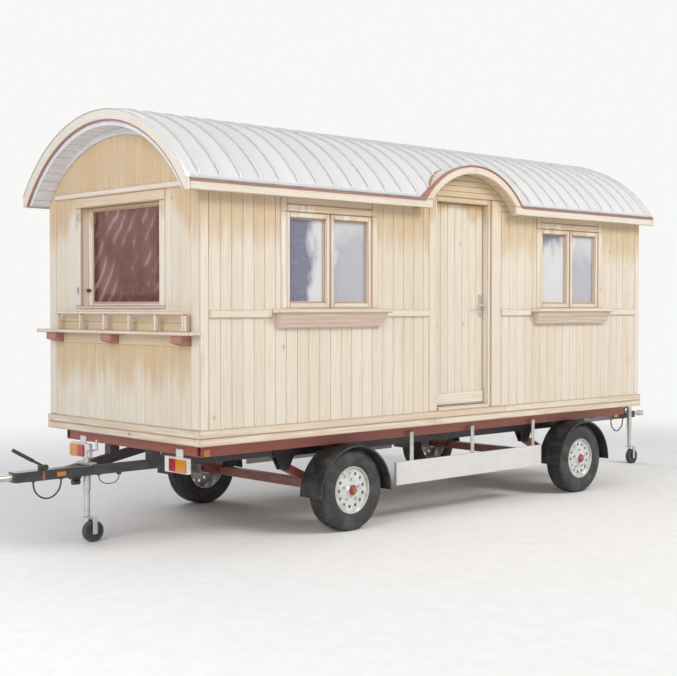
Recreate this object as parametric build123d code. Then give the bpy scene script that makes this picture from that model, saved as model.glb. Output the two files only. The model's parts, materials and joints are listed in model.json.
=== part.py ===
from build123d import *
import os
from math import cos, radians, sin, sqrt, tan

os.makedirs("parts", exist_ok=True)

# Body of the hut. X runs from the tow end that carries the big window to the other end,
# the door side faces -Y, the ground is z = 0 and the origin lies midway between the axles.
front_x = -3300
body_length = 6040
half_width = 1125
wall_set_back = 12
wall_thick = 90
wall_high = 1877
base_proud = 15
base_high = 125
base_thick = 75
post_on_end = 120
post_on_side = 90
joint_gap = 0.3

# Barrel roof, an arc over the tops of the side walls, with standing seams across it
ceiling_rise = 588
roof_thick = 130
barge_depth = 82
barge_thick = 28
eave_reach = 113
fascia_thick = 25
fascia_high = 82
hood_front = 200
hood_rear = 115
seam_pitch = 203
seam_high = 20
seam_thick = 9

# Eyebrow canopy over the door
door_share = 0.514073
canopy_shift = 40
canopy_radius = 860
canopy_thick = 70
canopy_rise = 404
canopy_lap = 14
canopy_board = 30

# Door, hung on its edge nearest the window end and opening outwards
door_frame_half = 430
door_high = 1945
head_high = 50
threshold_high = 30
jamb = 70
strike_casing = 110
leaf_gap = 5
leaf_thick = 45
leaf_recess = 60
hinge_radius = 8
hinge_pin = 5
hinge_out = 12
hinge_edge = 9
hinge_length = 60
hinge_shares = (0.0971, 0.4908, 0.8845)
lug_high = 14
run_fit = 0.05
handle_up = 945
handle_plate = (45, 8, 210)
handle_reach = 120
handle_rod = 9

# Windows, their heights measured from the top of the base boards
side_window_shares = (0.229305, 0.789735)
side_window_size = (1000, 800)
side_window_up = 955
end_window_size = (1224, 900)
end_window_up = 950
end_lining = 22
end_recess = 60
end_stile = 70
casing = 62
casing_proud = 18
sash_bar = 48
mullion = 92
glass_thick = 8
glass_depth_share = 0.35
end_glass_share = 0.8
sill_length = 1310
sill_reach = 112
sill_high = 38
apron_high = 120
apron_reach = 98
apron_foot = 46
apron_inset = 40
apron_taper = 25
belt_up = 877
belt_high = 68
belt_proud = 16
gable_rail_up = 1915
gable_rail_high = 50

# Planter shelf across the window end
shelf_up = 742
shelf_thick = 30
shelf_reach = 135
shelf_over = 20
rail_high = 160
rail_bar = 27
rail_inset_near = 75
rail_inset_far = 275
rail_posts = 6
rail_post = 32
rail_from_edge = 22
bracket_inset = 180
bracket_shift = 60
bracket_wide = 150
bracket_high = 85
bracket_nose = 60
ledger_thick = 22
ledger_high = 88

# Running gear
wheelbase = 3320
tyre_radius = 357
tyre_wide = 205
tyre_shoulder = 24
tyre_bulge = 6
bead_radius = 203
track_inset = 85
barrel_thick = 9
rim_wide = 165
disc_thick = 9
disc_inset = 12
hub_radius = 62
hub_nose = 28
hub_nose_radius = 43
hub_back = 60
hub_clear = 5
hole_circle = 145
hole_radius = 14
hole_count = 13
stub_radius = 30
stub_depth = 100
frame_high = 100
frame_wide = 50
frame_wall = 8
frame_inset = 120
frame_end_inset = 100
cross_shares = (0.154, 0.312, 0.497, 0.682, 0.873)
lower_high = 100
lower_wide = 70
lower_inset = 402
lower_past = 30
axle_half = 40
axle_stub_wall = 20
arm_lead = 450
arm_drop = 85
arm_wide = 60
arm_high = 70
arm_bracket_long = 200
arm_cheek = 8
mud_gap = 71
mud_drop = 34
mud_out = 14
mud_clear = 4
mud_sheet = 5
mud_lip = 17
mud_wide = 264
mud_stay_lean = 60
mud_stay = 16
guard_gap = 600
guard_low = 332
guard_high = 208
guard_thick = 26
guard_inset = 47
hanger_shares = (-0.783, 0.019, 0.906)
hanger_wide = 46
hanger_thick = 8

# Tow gear, the same at both ends
nose_z = 600
leg_high = 76
leg_wide = 60
housing_half = 55
housing_high = 80
housing_front = 4300
housing_long = 620
apex_lap = 120
apex_half = 30
shaft_radius = 27
shaft_sink = 20
eye_from_nose = 190
eye_outer = 50
eye_bore = 20
eye_high = 60
saddle_long = 90
saddle_past_front = 935
saddle_past_rear = 375
lever_from_nose_front = 250
lever_from_nose_rear = 290
lever_up = 68
lever_out = 23
lever_wide = 22
lever_radius = 24
lever_pin = 9
lever_reach = 285
lever_rise = 158
lever_bar = 20
lever_bar_thick = 10
lever_grip = 15
lever_bare_share = 0.38
lever_cheek = 8

# Jockey wheels
jockey_behind_housing = 60
jockey_from_nose = 220
jockey_out = 63
sleeve_outer = 30
jockey_tube = 24
sleeve_low = 430
sleeve_high = 276
sleeve_cap = 12
tube_low = 222
tube_high = 298
fork_pin = 12
fork_pin_high = 55
fork_gap = 6
fork_plate = 10
fork_half = 39
fork_cheek = 6
fork_long = 44
trail = 55
jockey_radius = 88
jockey_wide = 52
jockey_tread = 20
jockey_web = 28
jockey_hub = 22
jockey_axle = 8
clamp_high = 60
crank_rod = 7
crank_reach = 95
crank_grip = 75
crank_grip_radius = 11

# Lamps
lamp_inset = 400
lamp_half = 155
lamp_drop = 17
lamp_high = 126
lamp_thick = 34
lens_thick = 16
amber_wide = 130
red_wide = 90
lens_edge = 12
marker_size = (60, 12, 55)
marker_from_end = 20
marker_up = 5
reflector_size = (80, 6, 34)
reflector_from_nose = 450

# Cables that hang in loops under the tow bars, as distances along and down from their first clip
cable_radius = 7
wire_radius = 4
clip_wide = 28
clip_low = 548
wire_clip_low = 566
cable_from_nose = 185
wire_behind_apex = 215
cable_route = ((0, 0), (0, -38), (21, -90), (68, -132), (126, -148),
               (184, -133), (232, -91), (253, -38), (253, 0))
wire_route = ((0, 0), (0, -16), (9, -41), (37, -65), (83, -73), (129, -65), (157, -41), (166, -16), (166, 0))
arc_share = 0.45


def span(xs, ys, zs):
    """A plain block between two limits on each axis."""
    mid = [(lim[0] + lim[1]) / 2 for lim in (xs, ys, zs)]
    size = [abs(lim[1] - lim[0]) for lim in (xs, ys, zs)]
    return Pos(*mid) * Box(*size)


def about(mid, size):
    """The limits of a size set evenly about a middle."""
    return (mid - size / 2, mid + size / 2)


def rod(start, end, radius):
    """A round bar between two points."""
    start, end = Vector(*start), Vector(*end)
    circle = Edge.make_circle(radius, Plane(start, z_dir=end - start))
    return Solid.extrude(Face(Wire(circle)), end - start)


def bar(start, end, wide, high):
    """A rectangular bar along a line, its wide sides level."""
    start, end = Vector(*start), Vector(*end)
    run = end - start
    plane = Plane(start, x_dir=Vector(-run.Y, run.X, 0), z_dir=run)
    return extrude(plane * Rectangle(wide, high), run.length)


def along_x(section, low, high):
    """A section drawn in Y and Z, run along X."""
    return extrude(Plane.YZ.offset(low) * section, high - low)


def along_y(section, low, high):
    """A section drawn in X and Z, run along Y."""
    return extrude(Plane.XZ.offset(-high) * section, high - low)


def between(low, high):
    """A flat rectangle between two corners."""
    (x0, y0), (x1, y1) = low, high
    return Pos((x0 + x1) / 2, (y0 + y1) / 2) * Rectangle(x1 - x0, y1 - y0)


def turned(points):
    """A profile of radius and distance along the wheel axis, turned about it."""
    return revolve(make_face(Polyline(*points, close=True)), Axis.Y)


def save(node, pieces):
    """One file for each node."""
    if not isinstance(pieces, (list, tuple)):
        pieces = [pieces]
    solids = [solid for piece in pieces for solid in piece.solids()]
    export_step(solids[0] if len(solids) == 1 else Compound(solids), f"parts/{node}.step")


# Heights, stacked from the wheels up
mud_radius = tyre_radius + mud_gap
mud_z = tyre_radius - mud_drop
rail_low = mud_z + mud_radius + mud_clear
lower_low = rail_low - lower_high
base_low = rail_low + frame_high
base_top = base_low + base_high
wall_top = base_top + wall_high

# Shapes that several pieces share
rear_x = front_x + body_length
wall_y = half_width - wall_set_back
inner_y = wall_y - wall_thick
wall_front = front_x + wall_set_back
wall_rear = rear_x - wall_set_back
soffit_radius = (half_width ** 2 + ceiling_rise ** 2) / (2 * ceiling_rise)
arch_z = wall_top + ceiling_rise - soffit_radius
roof_radius = soffit_radius + roof_thick
roof_crown = arch_z + roof_radius
hood_front_x = front_x - hood_front
hood_rear_x = rear_x + hood_rear
roof_front = hood_front_x + barge_thick
roof_rear = hood_rear_x - barge_thick
eave_half = half_width + eave_reach
fascia_top = arch_z + sqrt(roof_radius ** 2 - eave_half ** 2)
fascia_low = fascia_top - fascia_high
arch_disc = Pos(0, arch_z) * Circle(roof_radius)
soffit_disc = Pos(0, arch_z) * Circle(soffit_radius)
room_section = soffit_disc + between((-soffit_radius, base_low), (soffit_radius, arch_z))
under_roof = along_x(room_section, hood_front_x, hood_rear_x)

door_mid_x = front_x + body_length * door_share
door_left = door_mid_x - door_frame_half
door_right = door_mid_x + door_frame_half
head_low = base_top + door_high
head_top = head_low + head_high
canopy_crown = wall_top + canopy_rise
canopy_z = canopy_crown - canopy_radius
canopy_back_y = -sqrt(roof_radius ** 2 - (canopy_crown + canopy_lap - arch_z) ** 2)
vault_inner = canopy_radius - canopy_thick
canopy_mid_x = door_mid_x + canopy_shift
vault_disc = Pos(canopy_mid_x, canopy_z) * Circle(canopy_radius)
vault_space = Pos(canopy_mid_x, canopy_z) * Circle(vault_inner)
vault_cut = between((canopy_mid_x - canopy_radius, fascia_low), (canopy_mid_x + canopy_radius, canopy_crown))
vault_core = along_y(vault_disc, -eave_half, canopy_back_y)

# Floor and base boards
base_y = half_width + base_proud
base_front = front_x - base_proud
base_rear = rear_x + base_proud
deck_y = base_y - base_thick
base_zs = (base_low, base_top)
save("floor_deck", span((base_front + base_thick, base_rear - base_thick), (-deck_y, deck_y), base_zs))
boards = [span((base_front, base_rear), ys, base_zs) for ys in ((-base_y, -deck_y), (deck_y, base_y))]
for xs in ((base_front, base_front + base_thick), (base_rear - base_thick, base_rear)):
    boards.append(span(xs, (-deck_y + joint_gap, deck_y - joint_gap), base_zs))
save("base_boards", boards)

# Corner posts and walls, their tops following the underside of the roof
wall_zs = (base_top, roof_crown)
posts = []
for end, inward in ((front_x, post_on_side), (rear_x, -post_on_side)):
    for side in (-1, 1):
        ys = (side * half_width, side * (half_width - post_on_end))
        posts.append(span((end, end + inward), ys, wall_zs) & under_roof)
save("corner_posts", posts)

panel_y = half_width - post_on_end
end_window_half = end_window_size[0] / 2
end_window_low = base_top + end_window_up
end_window_top = end_window_low + end_window_size[1]
side_window_half = side_window_size[0] / 2
side_window_low = base_top + side_window_up
side_window_top = side_window_low + side_window_size[1]
window_mids = [front_x + body_length * share for share in side_window_shares]


def end_wall(outer, inner):
    """An end wall with an arched head and one square window."""
    section = between((-panel_y, base_top), (panel_y, roof_crown)) & room_section
    panel = along_x(section, min(outer, inner), max(outer, inner))
    return panel - span((outer, inner), (-end_window_half, end_window_half), (end_window_low, end_window_top))


def side_wall(start, end, outer, inner, mids):
    """A length of side wall with its windows cut through."""
    wall = span((start, end), (outer, inner), wall_zs) & under_roof
    for mid in mids:
        xs = (mid - side_window_half, mid + side_window_half)
        wall -= span(xs, (outer, inner), (side_window_low, side_window_top))
    return wall


save("front_wall", end_wall(wall_front, wall_front + wall_thick))
save("rear_wall", end_wall(wall_rear, wall_rear - wall_thick))
side_start = front_x + post_on_side
side_end = rear_x - post_on_side
beside_door = [side_wall(side_start, door_left, -wall_y, -inner_y, window_mids[:1]),
               side_wall(door_right, side_end, -wall_y, -inner_y, window_mids[1:])]
save("door_wall_front", beside_door[0])
save("door_wall_rear", beside_door[1])
save("far_wall", side_wall(side_start, side_end, wall_y, inner_y, window_mids))

# The tympanum closes the wall under the canopy, over the door and over the walls beside it
tympanum = along_y(vault_cut & vault_space, -wall_y, -inner_y)
tympanum -= span((door_left, door_right), (-wall_y, -inner_y), (base_top, head_top))
save("door_tympanum", tympanum - beside_door[0] - beside_door[1])

# Roof shell, notched where the canopy's vault rises through it
sheet_half = eave_half - fascia_thick
shell = (arch_disc - soffit_disc) & between((-sheet_half, wall_top), (sheet_half, roof_crown))
save("roof_shell", along_x(shell, roof_front, roof_rear) - vault_core)

# Standing seams, hoops over the sheets that stop at the canopy
hoop = Pos(0, arch_z) * (Circle(roof_radius + seam_high) - Circle(roof_radius + joint_gap))
hoop &= between((-sheet_half, wall_top), (sheet_half, roof_crown + seam_high))
seam_count = int((roof_rear - roof_front) / seam_pitch)
seam_margin = (roof_rear - roof_front - (seam_count - 1) * seam_pitch) / 2
seams = []
for number in range(seam_count):
    low, high = about(roof_front + seam_margin + number * seam_pitch, seam_thick)
    seams.append(along_x(hoop, low, high) - vault_core)
save("roof_seams", seams)

barge_inner = Pos(0, arch_z) * Circle(roof_radius - barge_depth)
barge_section = (arch_disc - barge_inner) & between((-eave_half, fascia_low), (eave_half, roof_crown))
save("barge_boards", [along_x(barge_section, hood_front_x, roof_front),
                      along_x(barge_section, roof_rear, hood_rear_x)])

# Eave fascias, broken between the feet of the canopy
vault_foot = sqrt(vault_inner ** 2 - (fascia_top - canopy_z) ** 2)
fascia_zs = (fascia_low, fascia_top)
fascias = [span(xs, (-eave_half, -sheet_half), fascia_zs)
           for xs in ((roof_front, canopy_mid_x - vault_foot), (canopy_mid_x + vault_foot, roof_rear))]
fascias.append(span((roof_front, roof_rear), (sheet_half, eave_half), fascia_zs))
save("eave_fascias", fascias)

# Canopy: a short vault across the eave that dies into the roof, with an arched board on its face
# that stands on the fascias
vault_section = (vault_disc - vault_space) & vault_cut
save("door_canopy", along_y(vault_section, -eave_half + canopy_board, canopy_back_y) - under_roof)
above_fascia = between((canopy_mid_x - canopy_radius, fascia_top),
                       (canopy_mid_x + canopy_radius, canopy_crown))
save("canopy_arch", along_y(vault_section & above_fascia, -eave_half, -eave_half + canopy_board))

# Door frame, with hinge pins carried by lugs on the hanging jamb
leaf_outer = -wall_y + leaf_recess
leaf_left = door_left + jamb + leaf_gap
leaf_right = door_right - jamb - leaf_gap
leaf_low = base_top + threshold_high + leaf_gap
leaf_top = head_low - leaf_gap
hinge_x = leaf_left + hinge_edge
hinge_y = leaf_outer - hinge_out
hinge_heights = [leaf_low + (leaf_top - leaf_low) * share for share in hinge_shares]
frame_zs = (base_top, head_top)
frame_ys = (-wall_y, -inner_y)
casing_ys = (-wall_y - casing_proud, -wall_y)
jamb_left = span((door_left, door_left + jamb), frame_ys, frame_zs)
jamb_right = span((door_right - jamb, door_right), frame_ys, frame_zs)
jamb_left += span((door_left - casing, door_left + casing / 2), casing_ys, frame_zs)
jamb_right += span((door_right - casing / 2, door_right + strike_casing), casing_ys, frame_zs)
knuckle_half = hinge_length / 2
pin_half = knuckle_half + leaf_gap + lug_high
for height in hinge_heights:
    pin_ends = [(hinge_x, hinge_y, z) for z in (height - pin_half, height + pin_half)]
    jamb_left += rod(*pin_ends, hinge_pin)
    for side in (-1, 1):
        zs = (height + side * (knuckle_half + leaf_gap), height + side * pin_half)
        jamb_left += span((door_left + jamb, hinge_x + hinge_pin), about(hinge_y, hinge_pin + hinge_pin), zs)
inner_jambs = (door_left + jamb + joint_gap, door_right - jamb - joint_gap)
head = span(inner_jambs, frame_ys, (head_low, head_top))
threshold = span(inner_jambs, frame_ys, (base_top, base_top + threshold_high))
save("door_frame", [jamb_left, jamb_right, head, threshold])

leaf = span((leaf_left, leaf_right), (leaf_outer, leaf_outer + leaf_thick), (leaf_low, leaf_top))
for height in hinge_heights:
    zs = (height - knuckle_half, height + knuckle_half)
    ends = [(hinge_x, hinge_y, z) for z in zs]
    leaf += rod(*ends, hinge_radius)
    leaf += span((hinge_x, hinge_x + hinge_radius), (hinge_y, leaf_outer), zs)
    leaf -= rod(*ends, hinge_pin + run_fit)
save("door_leaf", leaf)

plate_wide, plate_thick, plate_high = handle_plate
plate_x = leaf_right - plate_wide
handle_z = leaf_low + handle_up
grip_y = leaf_outer - plate_thick - plate_wide
handle = span(about(plate_x, plate_wide), (leaf_outer - plate_thick, leaf_outer), about(handle_z, plate_high))
handle += rod((plate_x, leaf_outer, handle_z), (plate_x, grip_y, handle_z), handle_rod)
handle += rod((plate_x + handle_rod, grip_y, handle_z), (plate_x - handle_reach, grip_y, handle_z),
              handle_rod)
save("door_handle", handle)


def corbel(mid, wall, side, zs, lengths, reaches):
    """A board against a wall that draws in towards its foot."""
    levels = [Pos(mid, wall + side * reach / 2, z) * Rectangle(length, reach)
              for z, length, reach in zip(zs, lengths, reaches)]
    return loft(levels)


# Windows: side windows of two lights with a sill and an apron, one large light deep in each end
frames, side_panes, end_panes, sills, belts = [], [], [], [], []
for side in (-1, 1):
    outer, inner = side * wall_y, side * inner_y
    face = outer + side * casing_proud
    glass_at = outer - side * wall_thick * glass_depth_share
    zs = (side_window_low + sash_bar, side_window_top - sash_bar)
    sill_zs = (side_window_low - sill_high, side_window_low)
    for mid in window_mids:
        edge = side_window_half + casing
        frame = span((mid - side_window_half, mid + side_window_half), (outer, inner),
                     (side_window_low, side_window_top))
        frame += span((mid - edge, mid + edge), (outer, face), (side_window_low, side_window_top + casing))
        for pane in (-1, 1):
            xs = (mid + pane * mullion / 2, mid + pane * (side_window_half - sash_bar))
            frame -= span(xs, (face, inner), zs)
            side_panes.append(span(xs, (glass_at, glass_at - side * glass_thick), zs))
        frames.append(frame)
        sill = span(about(mid, sill_length), (outer, outer + side * sill_reach), sill_zs)
        apron_top = sill_length - apron_inset - apron_inset
        sill += corbel(mid, outer, side, (sill_zs[0] - apron_high, sill_zs[0]),
                       (apron_top - apron_taper - apron_taper, apron_top), (apron_foot, apron_reach))
        sills.append(sill)

recess_half = end_window_half - end_lining
light_half = recess_half - end_stile
gable_zs = (base_top + gable_rail_up, base_top + gable_rail_up + gable_rail_high)
for outer, inner, out in ((wall_front, wall_front + wall_thick, -1), (wall_rear, wall_rear - wall_thick, 1)):
    face = outer + out * casing_proud
    edge = end_window_half + casing
    frame = span((outer, inner), (-end_window_half, end_window_half), (end_window_low, end_window_top))
    frame += span((outer, face), (-edge, edge), (end_window_low, gable_zs[0]))
    frame -= span((face, outer - out * end_recess), (-recess_half, recess_half),
                  (end_window_low + end_lining, end_window_top - end_lining))
    ys, zs = (-light_half, light_half), (end_window_low + sash_bar, end_window_top - sash_bar)
    frames.append(frame - span((face, inner), ys, zs))
    glass_at = outer - out * wall_thick * end_glass_share
    end_panes.append(span((glass_at, glass_at - out * glass_thick), ys, zs))
    belts.append(span((outer, outer + out * belt_proud), (-panel_y, panel_y), gable_zs))
save("window_frames", frames)
save("side_panes", side_panes)
save("end_panes", end_panes)
save("window_sills", sills)

# Belt rails along the sides, between the sills and the door casing
belt_zs = (base_top + belt_up, base_top + belt_up + belt_high)
sill_edges = [about(mid, sill_length) for mid in window_mids]
far_stops = [side_start, *sill_edges[0], *sill_edges[1], side_end]
near_stops = [side_start, *sill_edges[0], door_left - casing, door_right + strike_casing, *sill_edges[1],
              side_end]
for side, stops in ((-1, near_stops), (1, far_stops)):
    for low, high in zip(stops[0::2], stops[1::2]):
        ys = (side * wall_y, side * (wall_y + belt_proud))
        belts.append(span((low + joint_gap, high - joint_gap), ys, belt_zs))
save("belt_rails", belts)

# Planter shelf with its low rail, and the ledger and brackets under it
shelf_x = wall_front - shelf_reach
shelf_low = base_top + shelf_up
shelf_top = shelf_low + shelf_thick
shelf_half = half_width + shelf_over
save("planter_shelf", span((shelf_x, front_x), (-shelf_half, shelf_half), (shelf_low, shelf_top)))
rail_xs = (shelf_x + rail_from_edge, shelf_x + rail_from_edge + rail_post)
rail_start, rail_end = -half_width + rail_inset_near, half_width - rail_inset_far
rail_top = shelf_top + rail_high
rail = span(rail_xs, (rail_start, rail_end), (rail_top - rail_bar, rail_top))
post_pitch = (rail_end - rail_start - rail_post) / (rail_posts - 1)
for number in range(rail_posts):
    low = rail_start + number * post_pitch
    rail += span(rail_xs, (low, low + rail_post), (shelf_top, rail_top - rail_bar))
save("planter_rail", rail)
ledger_x = wall_front - ledger_thick
support = span((ledger_x, wall_front), (-panel_y, panel_y), (shelf_low - ledger_high, shelf_low))
for mid in (-half_width + bracket_inset, bracket_shift, half_width - bracket_inset):
    nose_x = shelf_x + rail_from_edge
    block = Polyline((ledger_x, shelf_low), (nose_x, shelf_low), (nose_x, shelf_low - bracket_nose),
                     (ledger_x, shelf_low - bracket_high), close=True)
    support += along_y(make_face(block), *about(mid, bracket_wide))
save("shelf_brackets", support)

# Upper frame: channels on edge with cross members between them
rail_y = half_width - frame_inset
frame_front, frame_rear = front_x + frame_end_inset, rear_x - frame_end_inset
chassis = []
for side in (-1, 1):
    web, toe = side * rail_y, side * (rail_y - frame_wide)
    channel = span((frame_front, frame_rear), (web, toe), (rail_low, base_low))
    chassis.append(channel - span((frame_front, frame_rear), (web - side * frame_wall, toe),
                                  (rail_low + frame_wall, base_low - frame_wall)))
cross_y = rail_y - frame_wide - joint_gap
end_cross = (frame_front + frame_wide / 2, frame_rear - frame_wide / 2)
cross_at = [frame_front + (frame_rear - frame_front) * share for share in cross_shares]
for mid in (end_cross[0], *cross_at, end_cross[1]):
    chassis.append(span(about(mid, frame_wide), (-cross_y, cross_y), (rail_low, base_low)))
save("chassis_frame", chassis)

# Lower rails, with the cheeks that hold the trailing arms
axle_at = (-wheelbase / 2, wheelbase / 2)
lower_y = half_width - lower_inset
lower_half = wheelbase / 2 + arm_lead + arm_bracket_long / 2 + lower_past
pivot_z = lower_low - arm_drop
pivots = [axle_x - arm_lead for axle_x in axle_at]
lower = []
for side in (-1, 1):
    rails = span((-lower_half, lower_half), about(side * lower_y, lower_wide), (lower_low, rail_low))
    for pivot_x in pivots:
        for cheek in (-1, 1):
            inner = side * lower_y + cheek * arm_wide / 2
            (left, right), (toe, heel) = about(pivot_x, arm_bracket_long), about(pivot_x, arm_high)
            foot = pivot_z - arm_high / 2
            plate = Polyline((left, lower_low), (right, lower_low), (heel, foot), (toe, foot), close=True)
            rails += along_y(make_face(plate), *sorted((inner, inner + cheek * arm_cheek)))
    lower.append(rails)
save("lower_rails", lower)

# Tow bars: two legs that meet in a housing, with the lever's stand, saddles and cable clips
leg_end_z = (lower_low + rail_low) / 2
housing_back = housing_front - housing_long
apex_x = housing_back + apex_lap
lever_xs = {-1: lever_from_nose_front - housing_front, 1: housing_front - lever_from_nose_rear}
lever_y = -housing_half - lever_out
lever_z = nose_z + lever_up
eye_x = housing_front + eye_from_nose
cable_x = housing_front - cable_from_nose
wire_x = apex_x - wire_behind_apex


def leg_at(x):
    """Distance from the centre line and height of a leg's middle, at a distance from the axles' midpoint."""
    share = (apex_x - x) / (apex_x - lower_half)
    return apex_half + (lower_y - apex_half) * share, nose_z + (leg_end_z - nose_z) * share


wire_y, wire_leg_z = leg_at(wire_x)
wire_ends = [(wire_x, wire_y)]
wire_run = Vector(apex_x - lower_half, apex_half - lower_y, 0).normalized() * -wire_route[-1][0]
wire_ends.append((wire_x + wire_run.X, wire_y + wire_run.Y))
towbars, couplings = [], []
for end, saddle_x in ((-1, lower_half + saddle_past_front), (1, lower_half + saddle_past_rear)):
    tow = span((end * housing_back, end * housing_front), (-housing_half, housing_half),
               about(nose_z, housing_high))
    saddle_y, saddle_z = leg_at(saddle_x)
    for side in (-1, 1):
        start = (end * apex_x, side * apex_half, nose_z)
        finish = (end * (lower_half + joint_gap), side * lower_y, leg_end_z)
        tow += bar(start, finish, leg_wide, leg_high)
        tow += span(about(end * saddle_x, saddle_long), about(side * saddle_y, saddle_long),
                    (saddle_z, rail_low))
    lever_x = lever_xs[end]
    tow += rod((lever_x, lever_y - lever_wide / 2 - lever_cheek, lever_z), (lever_x, 0, lever_z), lever_pin)
    stand_xs = about(lever_x, lever_radius + lever_radius)
    tow += span(stand_xs, (-housing_half, 0), (nose_z, lever_z + lever_pin))
    for x in (cable_x, cable_x - cable_route[-1][0]):
        tow += span(about(end * x, clip_wide), about(0, clip_wide), (clip_low, nose_z))
    if end < 0:
        for x, y in wire_ends:
            tow += span(about(end * x, clip_wide), about(-y, clip_wide), (wire_clip_low, wire_leg_z))
    towbars.append(tow - lower[0] - lower[1])
    shaft_end = end * (eye_x - eye_outer + shaft_sink)
    coupling = rod((end * housing_front, 0, nose_z), (shaft_end, 0, nose_z), shaft_radius)
    coupling += Pos(end * eye_x, 0, nose_z) * Cylinder(eye_outer, eye_high)
    couplings.append(coupling - Pos(end * eye_x, 0, nose_z) * Cylinder(eye_bore, eye_high))
save("front_towbar", towbars[0])
save("rear_towbar", towbars[1])
save("tow_eyes", couplings)

# Axles and trailing arms
axles, arms = [], []
track_half = half_width - track_inset
hub_inner = track_half - hub_back
beam_half = hub_inner - axle_stub_wall
for axle_x, pivot_x in zip(axle_at, pivots):
    beam = span((axle_x - axle_half, axle_x + axle_half), (-beam_half, beam_half),
                (tyre_radius - axle_half, tyre_radius + axle_half))
    for side in (-1, 1):
        beam += rod((axle_x, side * beam_half, tyre_radius),
                    (axle_x, side * (hub_inner + stub_depth), tyre_radius), stub_radius)
    for side in (-1, 1):
        arm_ends = [(x, side * lower_y, z) for x, z in ((pivot_x, pivot_z), (axle_x, tyre_radius))]
        arm = bar(*arm_ends, arm_wide, arm_high)
        arms.append(arm - beam)
    axles.append(beam)
save("axle_beams", axles)
save("trailing_arms", arms)

# Wheels: a tyre and a pressed steel disc with a ring of round holes
half_tyre = tyre_wide / 2
half_bead = rim_wide / 2
tread = tyre_radius - tyre_shoulder
flank = bead_radius + tyre_shoulder
tyre_shape = turned([(bead_radius, -half_bead), (flank, -half_tyre), (tread, -half_tyre + tyre_bulge),
                     (tyre_radius, -half_tyre + tyre_shoulder), (tyre_radius, half_tyre - tyre_shoulder),
                     (tread, half_tyre - tyre_bulge), (flank, half_tyre), (bead_radius, half_bead)])
well = bead_radius - barrel_thick
disc_out = half_bead - disc_inset
disc_in = disc_out - disc_thick
rim_shape = turned([(0, disc_out + hub_nose), (hub_nose_radius, disc_out + hub_nose), (hub_radius, disc_out),
                    (well, disc_out), (well, half_bead), (bead_radius, half_bead), (bead_radius, -half_bead),
                    (well, -half_bead), (well, disc_in), (hub_radius, disc_in), (hub_radius, -hub_back),
                    (0, -hub_back)])
for number in range(hole_count):
    turn = radians(number * 360 / hole_count)
    x, z = hole_circle * cos(turn), hole_circle * sin(turn)
    rim_shape -= rod((x, disc_in, z), (x, disc_out, z), hole_radius)
rim_shape -= rod((0, -hub_back, 0), (0, stub_depth - hub_back + hub_clear, 0), stub_radius + run_fit)
wheels = (("front_near", axle_at[0], -1), ("front_far", axle_at[0], 1),
          ("rear_near", axle_at[1], -1), ("rear_far", axle_at[1], 1))
for name, axle_x, side in wheels:
    place = Pos(axle_x, side * track_half, tyre_radius) * Rot(0, 0, 0 if side > 0 else 180)
    save(f"tyre_{name}", place * tyre_shape)
    save(f"rim_{name}", place * rim_shape)

# Mudguards: bent sheets carried by stays from the lower rails
guards = []
sheet_mid = mud_radius - mud_sheet / 2
stay_y = lower_y + lower_wide / 2
mud_y = track_half + mud_out
inner_edge = mud_y - mud_wide / 2 + mud_sheet
for _, axle_x, side in wheels:
    ring = Pos(axle_x, mud_z) * (Circle(mud_radius) - Circle(mud_radius - mud_sheet))
    upper = between((axle_x - mud_radius, mud_z), (axle_x + mud_radius, mud_z + mud_radius))
    lip = Pos(axle_x, mud_z) * (Circle(mud_radius) - Circle(mud_radius - mud_lip)) & upper
    low, high = about(side * mud_y, mud_wide)
    guard = along_y(ring & upper, low, high)
    guard += along_y(lip, low, low + mud_sheet) + along_y(lip, high - mud_sheet, high)
    for lean in (-1, 1):
        x = axle_x + lean * sheet_mid * cos(radians(mud_stay_lean))
        z = mud_z + sheet_mid * sin(radians(mud_stay_lean))
        guard += rod((x, side * inner_edge, z), (x, side * stay_y, z), mud_stay / 2)
    guards.append(guard)
save("mudguards", guards)

# Guard boards hung between the wheels
boards, hangers = [], []
guard_half = wheelbase / 2 - guard_gap
guard_y = half_width - guard_inset
guard_back = guard_y - guard_thick
hang_top = rail_low + hanger_wide
for side in (-1, 1):
    boards.append(span((-guard_half, guard_half), (side * guard_y, side * guard_back),
                       (guard_low, guard_low + guard_high)))
    for share in hanger_shares:
        xs = about(guard_half * share, hanger_wide)
        hanger = span(xs, (side * guard_back, side * (guard_back - hanger_thick)),
                      (guard_low + hanger_wide, hang_top))
        hanger += span(xs, (side * guard_back, side * rail_y), (hang_top - hanger_thick, hang_top))
        hangers.append(hanger)
save("guard_boards", boards)
save("guard_hangers", hangers)

# Lamp boards below the end of the frame with their lenses, side markers, and reflectors on the tow bars
lamps, amber, red = [], [], []
lamp_back = frame_front - hanger_thick
lamp_face = lamp_back - lamp_thick
lamp_top = rail_low - lamp_drop
lamp_low = lamp_top - lamp_high
lens_xs = (lamp_face - lens_thick, lamp_face)
lens_zs = (lamp_low + lens_edge, lamp_top - lens_edge)
marker_long, marker_thick, marker_high = marker_size
for side in (-1, 1):
    mid = side * (half_width - lamp_inset)
    board = span((lamp_face, lamp_back), (mid - lamp_half, mid + lamp_half), (lamp_low, lamp_top))
    lamps.append(board + span((lamp_back, frame_front), (mid - hanger_wide, mid + hanger_wide),
                              (lamp_low, rail_low + hanger_wide)))
    outer = mid + side * (lamp_half - lens_edge)
    middle = outer - side * amber_wide
    amber.append(span(lens_xs, (outer, middle), lens_zs))
    red.append(span(lens_xs, (middle - side * joint_gap, middle - side * red_wide), lens_zs))
    marker_x = frame_front + marker_from_end
    amber.append(span((marker_x, marker_x + marker_long), (side * rail_y, side * (rail_y + marker_thick)),
                      (rail_low + marker_up, rail_low + marker_up + marker_high)))
save("lamp_boards", lamps)
save("red_lenses", red)
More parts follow.
